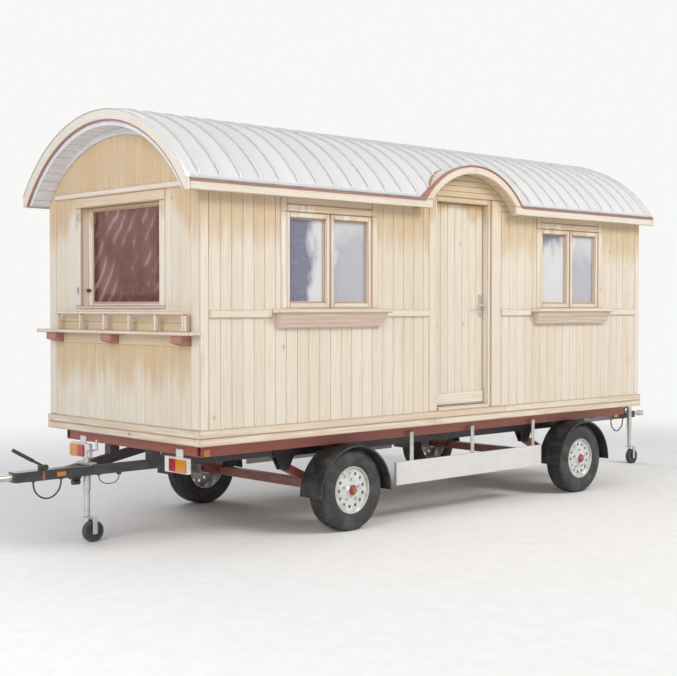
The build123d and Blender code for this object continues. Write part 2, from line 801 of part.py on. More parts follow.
long, thin, tall = reflector_size
reflector_x = housing_front - reflector_from_nose
for end in (-1, 1):
    amber.append(span((end * reflector_x, end * (reflector_x + long)), (-housing_half - thin, -housing_half),
                      about(nose_z, tall)))
save("amber_lenses", amber)

# Brake levers
for name, end in (("front", -1), ("rear", 1)):
    pivot = Vector(lever_xs[end], lever_y, lever_z)
    reach = Vector(end * lever_reach, 0, lever_rise)
    across = Vector(0, lever_wide / 2, 0)
    lever = rod(pivot - across, pivot + across, lever_radius)
    lever += bar(pivot, pivot + reach, lever_bar_thick, lever_bar)
    lever += rod(pivot + reach * lever_bare_share, pivot + reach, lever_grip)
    save(f"brake_lever_{name}", lever - rod(pivot - across, pivot + across, lever_pin + run_fit))

# Jockey wheels: clamped sleeve with a crank, sliding tube, swivelling fork, wheel
jockey_front = (-housing_back + jockey_behind_housing, 0)
jockey_rear = (housing_front - jockey_from_nose, -housing_half - jockey_out)
sleeve_top = sleeve_low + sleeve_high
fork_top = tube_low - fork_gap
crank_z = sleeve_top + clamp_high
plate_low = nose_z + leg_high / 2
wheel_half, web_half = jockey_wide / 2, jockey_web / 2
bore, tread_in = jockey_axle + run_fit, jockey_radius - jockey_tread
jockey_side = [(bore, wheel_half), (jockey_hub, wheel_half), (jockey_hub, web_half), (tread_in, web_half),
               (tread_in, wheel_half), (jockey_radius, wheel_half)]
jockey_shape = turned([*jockey_side, *[(r, -y) for r, y in reversed(jockey_side)]])
sleeves = []
for name, (px, py), end in (("front", jockey_front, -1), ("rear", jockey_rear, 1)):
    sleeve = rod((px, py, sleeve_low), (px, py, sleeve_top), sleeve_outer)
    if end < 0:
        plate_half = leg_at(-px)[0]
        sleeve += span(about(px, sleeve_outer + sleeve_outer), (-plate_half, plate_half),
                       (plate_low, plate_low + sleeve_outer))
        sleeve -= towbars[0]
    else:
        sleeve += span(about(px, sleeve_outer + sleeve_outer), (py, -housing_half), about(nose_z, clamp_high))
    arm_x = px - end * crank_reach
    sleeve += rod((px, py, sleeve_top), (px, py, crank_z), crank_rod)
    sleeve += rod((px, py, crank_z - crank_rod), (arm_x, py, crank_z - crank_rod), crank_rod)
    sleeve += rod((arm_x, py, crank_z - crank_rod - crank_rod), (arm_x, py, crank_z + crank_grip),
                  crank_grip_radius)
    sleeve -= rod((px, py, sleeve_low), (px, py, sleeve_top - sleeve_cap), jockey_tube + run_fit)
    sleeves.append(sleeve)
    tube = rod((px, py, tube_low), (px, py, tube_low + tube_high), jockey_tube)
    tube -= rod((px, py, tube_low), (px, py, tube_low + fork_pin_high), fork_pin + run_fit)
    save(f"jockey_tube_{name}", tube)
    wheel_x = px + trail
    cheek_xs = about(wheel_x, fork_long)
    fork = rod((px, py, fork_top), (px, py, tube_low + fork_pin_high - leaf_gap), fork_pin)
    fork_ys = about(py, fork_half + fork_half)
    fork += span((px - sleeve_outer, cheek_xs[1]), fork_ys, (fork_top - fork_plate, fork_top))
    for side in (-1, 1):
        ys = (py + side * fork_half, py + side * (fork_half - fork_cheek))
        fork += span(cheek_xs, ys, (jockey_radius - fork_long / 2, fork_top - fork_plate))
    fork += rod(*[(wheel_x, y, jockey_radius) for y in fork_ys], jockey_axle)
    save(f"jockey_fork_{name}", fork)
    save(f"jockey_wheel_{name}", Pos(wheel_x, py, jockey_radius) * jockey_shape)
save("jockey_sleeves", sleeves)


def hanging(start, run, route, radius):
    """A cable that hangs from a clip, along a level run, each bend as wide as its two lengths allow."""
    points = [start + run * along + Vector(0, 0, down) for along, down in route]
    lengths = [(b - a).length for a, b in zip(points, points[1:])]
    radii = []
    for a, b, c, first, second in zip(points, points[1:], points[2:], lengths, lengths[1:]):
        turn = radians((b - a).get_angle(c - b))
        radii.append(arc_share * min(first, second) / tan(turn / 2))
    print("bends", [round(size) for size in radii])
    path = FilletPolyline(*points, radius=radii)
    return sweep(Plane(path @ 0, z_dir=path % 0) * Circle(radius), path=path)


# Loops of cable under both housings, and a thinner wire under one leg of the front tow bar
for name, end in (("front", -1), ("rear", 1)):
    clip = Vector(end * cable_x, 0, clip_low)
    save(f"cable_{name}_wide", hanging(clip, Vector(-end, 0, 0), cable_route, cable_radius))
wire_start = Vector(-wire_x, -wire_y, wire_clip_low)
wire_way = Vector(wire_x - wire_ends[1][0], wire_y - wire_ends[1][1], 0).normalized()
save("cable_front_small", hanging(wire_start, wire_way, wire_route, wire_radius))
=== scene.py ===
import json
import random
from functools import partial
from math import acos, asin, cos, pi, radians, sin, sqrt

import bpy
import bmesh
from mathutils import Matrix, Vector


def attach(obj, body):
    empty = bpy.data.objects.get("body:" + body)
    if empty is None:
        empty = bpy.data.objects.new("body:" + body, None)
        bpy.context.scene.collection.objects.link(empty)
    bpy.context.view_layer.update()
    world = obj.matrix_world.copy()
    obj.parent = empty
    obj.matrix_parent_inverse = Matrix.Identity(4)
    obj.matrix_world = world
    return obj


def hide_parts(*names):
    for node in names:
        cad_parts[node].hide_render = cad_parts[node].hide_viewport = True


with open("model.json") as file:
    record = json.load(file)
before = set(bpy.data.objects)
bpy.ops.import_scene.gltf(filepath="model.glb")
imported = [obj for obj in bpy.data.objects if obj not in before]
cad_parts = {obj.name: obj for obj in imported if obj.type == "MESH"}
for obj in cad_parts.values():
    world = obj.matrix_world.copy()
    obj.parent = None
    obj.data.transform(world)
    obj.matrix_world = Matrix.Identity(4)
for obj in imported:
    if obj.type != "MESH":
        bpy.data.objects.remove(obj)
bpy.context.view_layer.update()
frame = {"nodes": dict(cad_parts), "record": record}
nodes = frame["nodes"]
scene = bpy.context.scene
rng = random.Random(11)
X, Y, Z = Vector((1, 0, 0)), Vector((0, 1, 0)), Vector((0, 0, 1))

# Walls, in metres in the part's own frame: their ends, half width, corner posts, cladding and base boards
FRONT, REAR, HALF = -3.3, 2.74, 1.125
POST_LONG, POST_WIDE, SKIN = 0.09, 0.12, 0.012
RUN, PANEL = (FRONT + POST_LONG, REAR - POST_LONG), HALF - POST_WIDE
WALL_X, WALL_Y = (FRONT + SKIN, REAR - SKIN), HALF - SKIN
BASE_LOW, BASE_TOP = 0.855, 0.98

# Barrel roof: its rise over the walls, its seams, bargeboards and eaves
WALL_TOP, RISE = 2.857, 0.588
SOFFIT_R = (HALF ** 2 + RISE ** 2) / (2 * RISE)
ARCH_Z = WALL_TOP + RISE - SOFFIT_R
ROOF_R = SOFFIT_R + 0.13
SEAM_X, SEAM_PITCH = -3.372, 0.203
BARGE_X, BARGE_DEEP = (FRONT - 0.2, REAR + 0.087), 0.028
EAVE, FASCIA_LOW, FASCIA_TOP = 1.238, 2.8401, 2.9221

# Door, canopy over it, windows and wheels
DOOR_X, DOOR_HEAD = -0.195, 2.975
JAMBS, DOOR_EDGES = (DOOR_X - 0.43, DOOR_X + 0.43), (DOOR_X - 0.492, 0.345)
CANOPY_X, CANOPY_R, ARCH_DEEP = -0.155, 0.86, 0.07
VAULT_Z = 3.261 - CANOPY_R
WINDOWS, SILL = (-1.915, 1.47), 0.655
TYRE_R, TRACK, AXLE = 0.357, 1.04, 1.66
WHEELS = {"front_near": (-AXLE, -1), "front_far": (-AXLE, 1), "rear_near": (AXLE, -1), "rear_far": (AXLE, 1)}

# Colours of the wood and its stains, and the ochre that is multiplied in as painted shade
PALE, WARM, DARK = (0.77, 0.72, 0.63), (0.66, 0.55, 0.405), (0.40, 0.28, 0.17)
TRIM, TRIM_WARM, STAIN = (0.79, 0.745, 0.665), (0.68, 0.57, 0.43), (0.42, 0.20, 0.12)
# SHADE_OCHRE is the tone of painted shade, multiplied over wood that the roof, a shelf or the canopy would
# shade
SHADE_OCHRE, BROWN = (0.83, 0.68, 0.49), (0.36, 0.15, 0.09)


def soffit(y):
    """Height of the underside of the roof at a distance from the middle."""
    return ARCH_Z + sqrt(max(SOFFIT_R ** 2 - y * y, 0))


# Node trees
class Tree:
    """A material, or a world, with short ways to add and join nodes."""

    def __init__(self, name, store="materials"):
        self.owner = getattr(bpy.data, store).new(name)
        self.owner.use_nodes = True
        self.tree = self.owner.node_tree
        self.bsdf = self.tree.nodes.get("Principled BSDF")
        self.times, self.plus = partial(self.math, "MULTIPLY"), partial(self.math, "ADD")
        self.minus, self.most = partial(self.math, "SUBTRACT"), partial(self.math, "MAXIMUM")

    def add(self, kind, ins=(), **props):
        node = self.tree.nodes.new("ShaderNode" + kind)
        for key, value in props.items():
            setattr(node, key, value)
        for key, value in dict(ins).items():
            self.put(node.inputs[key], value)
        return node

    def put(self, socket, value):
        if isinstance(value, bpy.types.NodeSocket):
            self.tree.links.new(value, socket)
        else:
            socket.default_value = (*value, 1.0) if socket.type == "RGBA" else value

    def math(self, op, a, b=0.0, clamp=False):
        return self.add("Math", {0: a, 1: b}, operation=op, use_clamp=clamp).outputs[0]

    def reach(self, a, b):
        """Distance from the line where both are zero."""
        return self.math("SQRT", self.plus(self.math("POWER", a, 2.0), self.math("POWER", b, 2.0)))

    def coords(self):
        return self.add("TexCoord").outputs["Object"]

    def axes(self):
        """The coordinates X, Y and Z of a point of the piece at rest."""
        return self.add("SeparateXYZ", {0: self.coords()}).outputs

    def place(self, scale, source=None):
        """Coordinates of the piece, or a stored one, times one scale or a scale for each axis."""
        if isinstance(scale, (int, float)):
            scale = (scale, scale, scale)
        return self.add("Mapping", {"Vector": source or self.coords(), "Scale": scale}).outputs[0]

    def bands(self, scale, way, source=None, distort=0.0, fine=1.0, profile="SIN"):
        at = source or self.coords()
        ins = {"Vector": at, "Scale": scale, "Distortion": distort, "Detail Scale": fine}
        return self.add("TexWave", ins, bands_direction=way, wave_profile=profile).outputs["Fac"]

    def chance(self, value):
        """A chance value for each whole number."""
        whole = self.math("FLOOR", value)
        return self.add("TexWhiteNoise", {"W": whole}, noise_dimensions="1D").outputs["Value"]

    def seen(self):
        """One where the camera sees a surface itself, in a mirror or through glass."""
        ray = self.add("LightPath").outputs
        return self.most(ray["Is Camera Ray"], self.most(ray["Is Glossy Ray"], ray["Is Transmission Ray"]))

    def noise(self, scale, detail, rough=0.6, source=None):
        ins = {"Vector": self.place(scale, source), "Scale": 1.0, "Detail": detail, "Roughness": rough}
        return self.add("TexNoise", ins).outputs["Fac"]

    def ramp(self, value, low, high, to_low=0.0, to_high=1.0):
        ins = {"Value": value, "From Min": low, "From Max": high, "To Min": to_low, "To Max": to_high}
        return self.add("MapRange", ins, interpolation_type="SMOOTHSTEP").outputs[0]

    def mix(self, fac, a, b, blend="MIX"):
        node = self.add("Mix", data_type="RGBA", blend_type=blend)
        for index, value in ((0, fac), (6, a), (7, b)):
            self.put(node.inputs[index], value)
        return node.outputs[2]

    def tint(self, color, value, low, high, amount, over):
        """Lay a colour over another by an amount, where a value runs from low to high."""
        return self.mix(self.ramp(value, low, high, 0.0, amount), color, over)

    def edge(self, radius, full=0.8):
        """How near a point is to a sharp edge, and the normal rounded over it."""
        soft = self.add("Bevel", {"Radius": radius}, samples=4).outputs[0]
        flat = self.add("NewGeometry").outputs["Normal"]
        dot = self.add("VectorMath", {0: soft, 1: flat}, operation="DOT_PRODUCT").outputs["Value"]
        return self.ramp(dot, 0.995, full), soft

    def worn(self, color, radius, amount, over, full=0.8):
        """A colour with another on its sharp edges, and the normal rounded over them."""
        wear, soft = self.edge(radius, full)
        return self.mix(self.times(wear, amount), color, over), soft

    def out(self, color, rough, height=None, strength=0.0, distance=0.0, soft=None, **fixed):
        """Set the shader, with a bump on a rounded normal where a height is given."""
        ins = {"Base Color": color, "Roughness": rough}
        if height is not None:
            bump = self.add("Bump", {"Height": height, "Strength": strength, "Distance": distance})
            ins["Normal"] = bump.outputs[0]
            if soft is not None:
                self.put(bump.inputs["Normal"], soft)
        ins.update((key.replace("_", " "), value) for key, value in fixed.items())
        for key, value in ins.items():
            self.put(self.bsdf.inputs[key], value)
        return self.owner


def timber(name, pale=PALE, warm=WARM, dark=DARK, painted_shade=(), arris=None):
    """Softwood whose grain runs along each plank, with rings, knots and a tone for each plank.

    Where the roof or a shelf would shade it, ochre is multiplied in as painted shade: a row of painted shade
    gives the heights where that starts and is full, its top, its amount, and how far it leans down towards
    the sides of an end wall.
    The arrises wear pale, or take a stain."""
    t = Tree(name)
    grain = t.add("Attribute", attribute_name="grain").outputs["Vector"]
    tone = t.add("Attribute", attribute_name="tone").outputs["Fac"]
    fibre = t.noise((3, 160, 160), 5, 0.65, source=grain)
    broad = t.noise((0.9, 34, 34), 3, 0.55, source=grain)
    drift = t.noise((0.7, 7, 7), 2, source=grain)
    ring_at = t.add("VectorMath", {0: t.place((0.55, 17, 17), grain), 1: drift}, operation="ADD").outputs[0]
    rings = t.bands(1.1, "Y", ring_at, 5.5, 0.8)
    cell = t.add("TexVoronoi", {"Vector": t.place((4.6, 8.3, 8.3), grain), "Scale": 1.0, "Randomness": 1.0})
    draw = t.add("SeparateColor", {"Color": cell.outputs["Color"]}).outputs[0]
    size = t.ramp(draw, 0.72, 1.0, 0.001, 0.12)
    near = t.math("DIVIDE", cell.outputs["Distance"], size)
    color = t.tint(pale, rings, 0.35, 0.95, 0.6, warm)
    color = t.tint(color, broad, 0.48, 0.72, 0.5, warm)
    color = t.tint(color, fibre, 0.45, 0.78, 0.5, dark)
    color = t.tint(color, near, 2.6, 0.9, 0.4, warm)
    color = t.tint(color, near, 1.2, 0.6, 0.8, dark)
    color = t.tint(color, tone, 0.0, 1.0, 0.42, warm)
    stain = t.noise((1.3, 1.3, 0.35), 3)
    color = t.tint(color, stain, 0.52, 0.8, 0.2, dark)
    # Painted shade: ochre multiplied in below each row's heights, with ragged edges
    if painted_shade:
        ragged = t.noise((9, 9, 1.2), 4)
        part = t.axes()
        aside = t.most(t.minus(t.math("ABSOLUTE", part["Y"]), 0.68), 0.0)
        uneven = t.plus(part["Z"], t.ramp(ragged, 0.3, 0.7, -0.1, 0.1))
        for low, high, top, amount, lean in painted_shade:
            level = t.plus(uneven, t.times(aside, lean)) if lean else uneven
            under = t.times(t.ramp(level, low, high, 0.0, amount), t.ramp(part["Z"], top + 0.01, top))
            color = t.mix(under, color, SHADE_OCHRE, "MULTIPLY")
    color, soft = t.worn(color, 0.014, 0.75, arris, 0.93) if arris else t.worn(color, 0.004, 0.3, pale)
    height = t.plus(t.times(fibre, 0.6), t.times(rings, 0.3))
    rough = t.ramp(fibre, 0.3, 0.8, 0.5, 0.74)
    return t.out(color, rough, height, 0.4, 0.0014, soft, Coat_Weight=0.12, Coat_Roughness=0.4)


def plain_timber(name, pale, warm, dark, axis):
    """The same wood on a solid with no planks of its own, its grain along one axis."""
    t = Tree(name)
    scale = [102, 102, 102]
    scale[axis] = 4.8
    fibre = t.noise(scale, 5)
    lines = t.bands(4.1, "X" if axis != 0 else "Z", profile="SAW")
    color = t.tint(pale, fibre, 0.4, 0.75, 0.6, warm)
    color = t.mix(t.ramp(lines, 0.04, 0.0), color, dark)
    color, soft = t.worn(color, 0.003, 0.25, dark)
    return t.out(color, t.ramp(fibre, 0.3, 0.8, 0.5, 0.75), fibre, 0.2, 0.001, soft)


def paint(name, base, under, dust, rough=0.42, chips=0.7, coat=0.25, grain=0.12, mottle=0.5):
    """Paint on steel with orange peel, worn edges, chips and a film of road dust low down."""
    t = Tree(name)
    spots = t.noise(36, 6, 0.7)
    peel = t.noise(160, 2)
    wear, soft = t.edge(0.006)
    worn = t.times(wear, t.ramp(spots, 0.42, 0.62))
    chip = t.ramp(spots, 0.715, 0.745, 0.0, chips)
    low = t.ramp(t.axes()["Z"], 0.85, 0.1, 0.05, 0.5)
    film = t.times(low, t.ramp(t.noise((4.8, 4.8, 10), 6), 0.35, 0.75))
    color = t.mix(t.ramp(spots, 0.3, 0.7, 0.0, mottle), base, [c * 0.72 for c in base])
    color = t.mix(t.most(worn, chip), color, under)
    color = t.mix(film, color, dust)
    gloss = t.plus(t.ramp(spots, 0.3, 0.8, rough - 0.08, rough + 0.12), t.times(film, 0.3), True)
    return t.out(color, gloss, peel, grain, 0.0006, soft, Coat_Weight=coat, Coat_Roughness=0.3)


def metal(name, base, stain, rough=0.32, brushed=(240, 240, 18)):
    """Bright metal with fine drawn lines, cloudy tarnish and finger-dull patches."""
    t = Tree(name)
    lines = t.noise(brushed, 4)
    cloud = t.noise(9, 5)
    color = t.tint(base, cloud, 0.42, 0.72, 0.55, stain)
    color, soft = t.worn(color, 0.003, 0.4, [min(1.0, c * 1.25) for c in base])
    gloss = t.plus(t.ramp(cloud, 0.3, 0.7, rough - 0.08, rough + 0.14), t.times(lines, 0.08), True)
    return t.out(color, gloss, lines, 0.08, 0.0006, soft, Metallic=1.0)


def rubber(name, base, dust, grain=220.0, rough=0.72):
    """Rubber with a fine moulded grain, greyed where dust lies on it."""
    t = Tree(name)
    fine = t.noise(grain, 3)
    cloud = t.noise(10, 6)
    color = t.tint(base, cloud, 0.4, 0.75, 0.55, dust)
    color, soft = t.worn(color, 0.003, 0.5, dust)
    return t.out(color, t.ramp(cloud, 0.3, 0.8, rough - 0.1, rough + 0.15), fine, 0.25, 0.0008, soft)


def lens(name, base, deep):
    """Moulded lamp plastic with upright prism ribs behind a clear face."""
    t = Tree(name)
    ribs = t.bands(26.0, "Y")
    rows = t.bands(18.0, "Z")
    cloud = t.noise(14, 3)
    color = t.mix(t.ramp(t.times(ribs, rows), 0.1, 0.9), deep, base)
    soft = t.edge(0.004)[1]
    rough = t.ramp(cloud, 0.3, 0.7, 0.12, 0.22)
    return t.out(color, rough, ribs, 0.35, 0.002, soft, Coat_Weight=0.7, Coat_Roughness=0.06)


def glass(name, sky, deep, reflection_mask, speck=0.5):
    """Window glass with a painted reflection in its colour, pale sky or dark trees by a mask, with faint
    waves and smears.
    """
    t = Tree(name)
    wave = t.noise((3.52, 3.52, 2.24), 4)
    dark = reflection_mask(t, t.axes(), wave)
    smear = t.noise((12, 12, 27), 5)
    ripple = t.noise(2, 1)
    color = t.mix(t.ramp(smear, 0.45, 0.8, 0.0, 0.12), t.mix(dark, sky, deep), sky)
    t.put(t.bsdf.inputs["Alpha"], t.ramp(dark, 0.0, 1.0, 0.84, 0.94))
    rough = t.ramp(smear, 0.4, 0.8, 0.04, 0.14)
    return t.out(color, rough, ripple, 0.06, 0.01, Specular_IOR_Level=speck)


def two_lights(t, part, wave):
    """Painted reflection on the side glass: dark to the left of the left light, least in the rear window,
    and grey over the right one.
    """
    front = t.math("LESS_THAN", part["X"], 0.0)
    at = t.plus(t.minus(part["X"], WINDOWS[1]), t.times(front, WINDOWS[1] - WINDOWS[0]))
    lean = t.plus(at, t.times(t.minus(part["Z"], 2.33), -0.16))
    drawn = t.plus(lean, t.ramp(wave, 0.3, 0.7, -0.07, 0.07))
    left = t.ramp(drawn, -0.13, -0.24)
    height = t.plus(part["Z"], t.ramp(wave, 0.3, 0.7, -0.12, 0.12))
    left = t.times(left, t.most(t.ramp(height, 2.42, 2.62), front))
    right = t.times(t.ramp(drawn, 0.03, 0.12), t.ramp(height, 2.66, 2.4, 0.14, 0.46))
    return t.most(left, right)


def one_light(t, part, wave):
    """Painted shade and reflection on the end glass: dark, most along the edges, with slanting paler streaks
    of painted reflection.
    """
    slant = t.plus(t.times(part["Y"], 4.4), t.times(part["Z"], 3.4))
    bands = t.math("SINE", t.plus(t.times(slant, 9.0), t.times(wave, 9.0)))
    streaks = t.times(t.ramp(bands, 0.1, 1.0), t.ramp(wave, 0.42, 0.62))
    edge = t.most(t.ramp(t.math("ABSOLUTE", part["Y"]), 0.24, 0.48), t.ramp(part["Z"], 2.2, 2.02))
    body = t.most(t.ramp(wave, 0.3, 0.7, 0.92, 0.68), edge)
    return t.minus(body, t.times(streaks, 0.5), True)


def roof_sheet():
    """Pale zinc sheets, each its own shade, with rain streaks; grey painted boards on the underside."""
    t = Tree("roof_zinc")
    part = t.axes()
    rise = t.minus(part["Z"], ARCH_Z)
    angle = t.math("ARCTAN2", part["Y"], rise)
    radius = t.reach(part["Y"], rise)
    shade = t.chance(t.math("DIVIDE", t.minus(part["X"], SEAM_X), SEAM_PITCH))
    run = t.add("CombineXYZ", {0: part["X"], 1: t.times(angle, 1.5), 2: 0.0}).outputs[0]
    streak = t.noise((26, 1.1, 1), 5, 0.65, source=run)
    cloud = t.noise(3.08, 5)
    dents = t.noise(3.9, 2)
    color = t.mix(t.times(shade, 0.45), (0.70, 0.697, 0.69), (0.59, 0.59, 0.59))
    color = t.tint(color, streak, 0.5, 0.8, 0.4, (0.48, 0.48, 0.48))
    color = t.tint(color, cloud, 0.5, 0.8, 0.3, (0.77, 0.77, 0.76))
    boards = t.math("FRACT", t.times(angle, 13.0))
    joint = t.most(t.ramp(boards, 0.04, 0.0), t.ramp(boards, 0.96, 1.0))
    grain = t.noise((3, 40, 1), 4, source=run)
    under = t.mix(t.ramp(grain, 0.35, 0.75), (0.78, 0.785, 0.80), (0.66, 0.665, 0.685))
    joint = t.times(joint, t.ramp(radius, SOFFIT_R + 0.004, SOFFIT_R + 0.002))
    under = t.mix(joint, under, (0.3, 0.29, 0.29))
    inner = t.ramp(radius, ROOF_R - 0.05, ROOF_R - 0.06)
    color = t.mix(inner, color, under)
    rough = t.plus(t.ramp(streak, 0.3, 0.8, 0.52, 0.68), t.times(inner, 0.1), True)
    soft = t.edge(0.003)[1]
    return t.out(color, rough, t.plus(dents, t.times(joint, -0.2)), 0.25, 0.006, soft,
                 Metallic=0.1, Specular_IOR_Level=0.3)


def canopy_skin():
    """Narrow boards bent over the canopy, stained along its front edge and where it meets the roof, with
    ochre painted shade on the underside.
    """
    t = Tree("canopy_skin")
    part = t.axes()
    aside, rise = t.minus(part["X"], CANOPY_X), t.minus(part["Z"], VAULT_Z)
    strip = t.times(t.math("ARCTAN2", aside, rise), 13.0)
    shade = t.chance(strip)
    edge = t.math("FRACT", strip)
    joint = t.most(t.ramp(edge, 0.06, 0.0), t.ramp(edge, 0.94, 1.0))
    grain = t.noise((80, 6, 80), 5)
    radius = t.reach(part["Y"], t.minus(part["Z"], ARCH_Z))
    color = t.tint(PALE, grain, 0.4, 0.75, 0.7, WARM)
    color = t.mix(t.times(shade, 0.35), color, WARM)
    color = t.mix(joint, color, DARK)
    ragged = t.plus(radius, t.ramp(grain, 0.3, 0.7, -0.01, 0.01))
    outside = t.ramp(t.reach(aside, rise), CANOPY_R - 0.014, CANOPY_R - 0.01)
    stain = t.times(outside, t.ramp(ragged, ROOF_R + 0.035, ROOF_R + 0.02, 0.0, 0.85))
    # Painted shade: ochre multiplied over the canopy's underside and inner faces
    color = t.mix(t.ramp(outside, 1.0, 0.0, 0.0, 0.8), color, SHADE_OCHRE, "MULTIPLY")
    color = t.mix(stain, color, BROWN)
    soft = t.edge(0.004)[1]
    return t.out(color, t.ramp(grain, 0.3, 0.8, 0.5, 0.72), t.minus(grain, joint), 0.25, 0.002, soft)


def wheel_paint(name, x):
    """Silver disc with a red hub, dusty towards the rim."""
    t = Tree(name)
    part = t.axes()
    radius = t.reach(t.minus(part["X"], x), t.minus(part["Z"], TYRE_R))
    spots = t.noise(48, 6, 0.7)
    cloud = t.noise(12, 5)
    silver = t.tint((0.72, 0.725, 0.73), cloud, 0.35, 0.75, 0.6, (0.53, 0.53, 0.53))
    red = t.mix(t.ramp(spots, 0.4, 0.7), (0.4, 0.07, 0.04), (0.26, 0.05, 0.035))
    color = t.mix(t.ramp(radius, 0.048, 0.046), silver, red)
    dusty = t.times(t.ramp(radius, 0.09, 0.2, 0.1, 0.55), t.ramp(cloud, 0.35, 0.7))
    color = t.mix(dusty, color, (0.36, 0.32, 0.27))
    color = t.tint(color, spots, 0.72, 0.75, 0.8, (0.2, 0.1, 0.06))
    soft = t.edge(0.004)[1]
    return t.out(color, t.ramp(cloud, 0.3, 0.8, 0.3, 0.5), spots, 0.06, 0.001, soft, Metallic=0.35,
                 Coat_Weight=0.2, Coat_Roughness=0.25)


# Materials, with a top above the roof for painted shade that is open upwards
OPEN = 4.0
# Rows of painted shade: under the eaves, leaning down towards the sides of an end wall; on the front end
# also under the planter shelf; on the side walls, joinery, posts, door and tympanum under the eaves and the
# canopy
EAVES_SHADE = (2.72, 2.96, OPEN, 0.9, 1.1)
side_wood = timber("larch_sides", painted_shade=[(2.36, 2.66, OPEN, 0.8, 0)])
end_wood = timber("larch_front_end", painted_shade=[EAVES_SHADE, (1.20, 1.52, 1.74, 0.9, 0)])
rear_wood = timber("larch_rear_end", painted_shade=[EAVES_SHADE])
door_wood = timber("larch_door", (0.77, 0.725, 0.64), painted_shade=[(2.78, 2.9, OPEN, 0.9, 0)])
gable_wood = timber("larch_tympanum", painted_shade=[(2.4, 2.8, OPEN, 0.75, 0)])
trim_wood = timber("larch_trim", TRIM, TRIM_WARM, arris=STAIN)
window_wood = timber("larch_joinery", TRIM, TRIM_WARM, painted_shade=[(2.66, 2.74, OPEN, 0.7, 0)], arris=STAIN)
surround_wood = timber("larch_surround", TRIM, TRIM_WARM, painted_shade=[(2.70, 2.9, OPEN, 0.8, 0)], arris=STAIN)
post_wood = timber("larch_posts", PALE, TRIM_WARM, painted_shade=[(2.40, 2.74, OPEN, 0.8, 0)], arris=STAIN)
base_wood = timber("larch_base", (0.74, 0.67, 0.55), (0.63, 0.49, 0.34), arris=STAIN)
barge_wood = timber("larch_barge", (0.80, 0.765, 0.70), (0.70, 0.61, 0.50), (0.42, 0.31, 0.22))
grey_wood = timber("weathered_larch", (0.76, 0.75, 0.73), (0.64, 0.62, 0.59), (0.38, 0.35, 0.32))
# A darker ochre that stands for painted shade behind the planter rail and on the ledger under the shelf
painted_shade_wood = timber("painted_shade_board", (0.70, 0.58, 0.42), (0.60, 0.44, 0.27))
# The aprons are darker and redder than the wall boards as painted shade under the sills
apron_shade_wood = timber("apron_board", (0.69, 0.58, 0.49), (0.56, 0.39, 0.30), (0.33, 0.16, 0.10))
brown_wood = timber("stained_block", (0.42, 0.21, 0.16), (0.34, 0.14, 0.10), (0.22, 0.08, 0.055))
inner_wood = plain_timber("inside_boards", (0.74, 0.62, 0.46), (0.62, 0.46, 0.29), (0.3, 0.2, 0.12), 2)
floor_wood = plain_timber("floor_boards", (0.5, 0.38, 0.25), (0.38, 0.27, 0.16), (0.14, 0.09, 0.05), 0)
zinc = roof_sheet()
ALONG_X = (18, 180, 180)
seam_zinc = metal("seam_zinc", (0.74, 0.74, 0.74), (0.58, 0.58, 0.585), 0.46, ALONG_X)
# The eave drip's dark grey is a painted shadow line under the roof edge
drip_shadow_metal = metal("drip_shadow_metal", (0.30, 0.30, 0.32), (0.20, 0.20, 0.21), 0.5, ALONG_X)
red_oxide = paint("red_oxide", (0.34, 0.085, 0.055), (0.16, 0.06, 0.04), (0.44, 0.36, 0.29))
black_paint = paint("black_paint", (0.022, 0.022, 0.024), (0.16, 0.10, 0.07), (0.26, 0.23, 0.2))
black_plastic = rubber("black_plastic", (0.018, 0.018, 0.019), (0.10, 0.095, 0.09), 300.0, 0.5)
plated = metal("plated_steel", (0.60, 0.60, 0.58), (0.40, 0.38, 0.33))
handle_metal = metal("handle_metal", (0.66, 0.65, 0.62), (0.48, 0.46, 0.42), 0.26)
dull_metal = metal("dull_plate", (0.42, 0.45, 0.52), (0.28, 0.30, 0.36), 0.5)
board_paint = paint("guard_paint", (0.70, 0.69, 0.675), (0.5, 0.46, 0.42), (0.58, 0.55, 0.51), rough=0.6,
                    chips=0.05, coat=0.0, grain=0.03, mottle=0.15)
tyre_rubber = rubber("tyre_rubber", (0.03, 0.03, 0.031), (0.14, 0.135, 0.128))
jockey_rubber = rubber("jockey_rubber", (0.055, 0.055, 0.058), (0.16, 0.155, 0.15))
cable_rubber = rubber("cable_rubber", (0.03, 0.035, 0.055), (0.12, 0.12, 0.13), 500.0, 0.55)
lamp_white = paint("lamp_white", (0.80, 0.80, 0.78), (0.6, 0.6, 0.58), (0.5, 0.46, 0.4), 0.25, 0.1)
amber = lens("amber_lens", (0.86, 0.40, 0.03), (0.55, 0.19, 0.01))
ruby = lens("red_lens", (0.62, 0.03, 0.03), (0.30, 0.01, 0.012))
# Both glasses carry painted reflection in their colour, and the end glass also painted shade of the dark
# room behind it
side_glass = glass("side_glass", (0.74, 0.745, 0.755), (0.19, 0.195, 0.275), two_lights)
end_glass = glass("end_glass", (0.50, 0.32, 0.275), (0.12, 0.036, 0.031), one_light, 0.2)

# Looks of the CAD nodes that show: by the record's slots, apart from some nodes with a look of their own
slot_looks = {
    "boards": inner_wood, "floor": floor_wood, "clear_glass": side_glass, "dark_glass": end_glass,
    "handle_steel": handle_metal, "red_oxide": red_oxide, "black_steel": black_paint, "bare_steel": plated,
    "guard_board": board_paint, "jockey_rubber": jockey_rubber, "lamp_white": lamp_white,
    "amber_lens": amber, "red_lens": ruby,
}
node_looks = {"roof_shell": zinc, "door_canopy": canopy_skin(), "roof_seams": seam_zinc,
              "mudguards": black_plastic, "guard_hangers": plated}
for name, (x, _) in WHEELS.items():
    node_looks["rim_" + name] = wheel_paint("wheel_" + name, x)
for row in frame["record"]["subparts"]:
    material = node_looks.get(row["node"]) or slot_looks.get(row["material_slot"])
    if material:
        slots = nodes[row["node"]].data.materials
        slots.clear()
        slots.append(material)


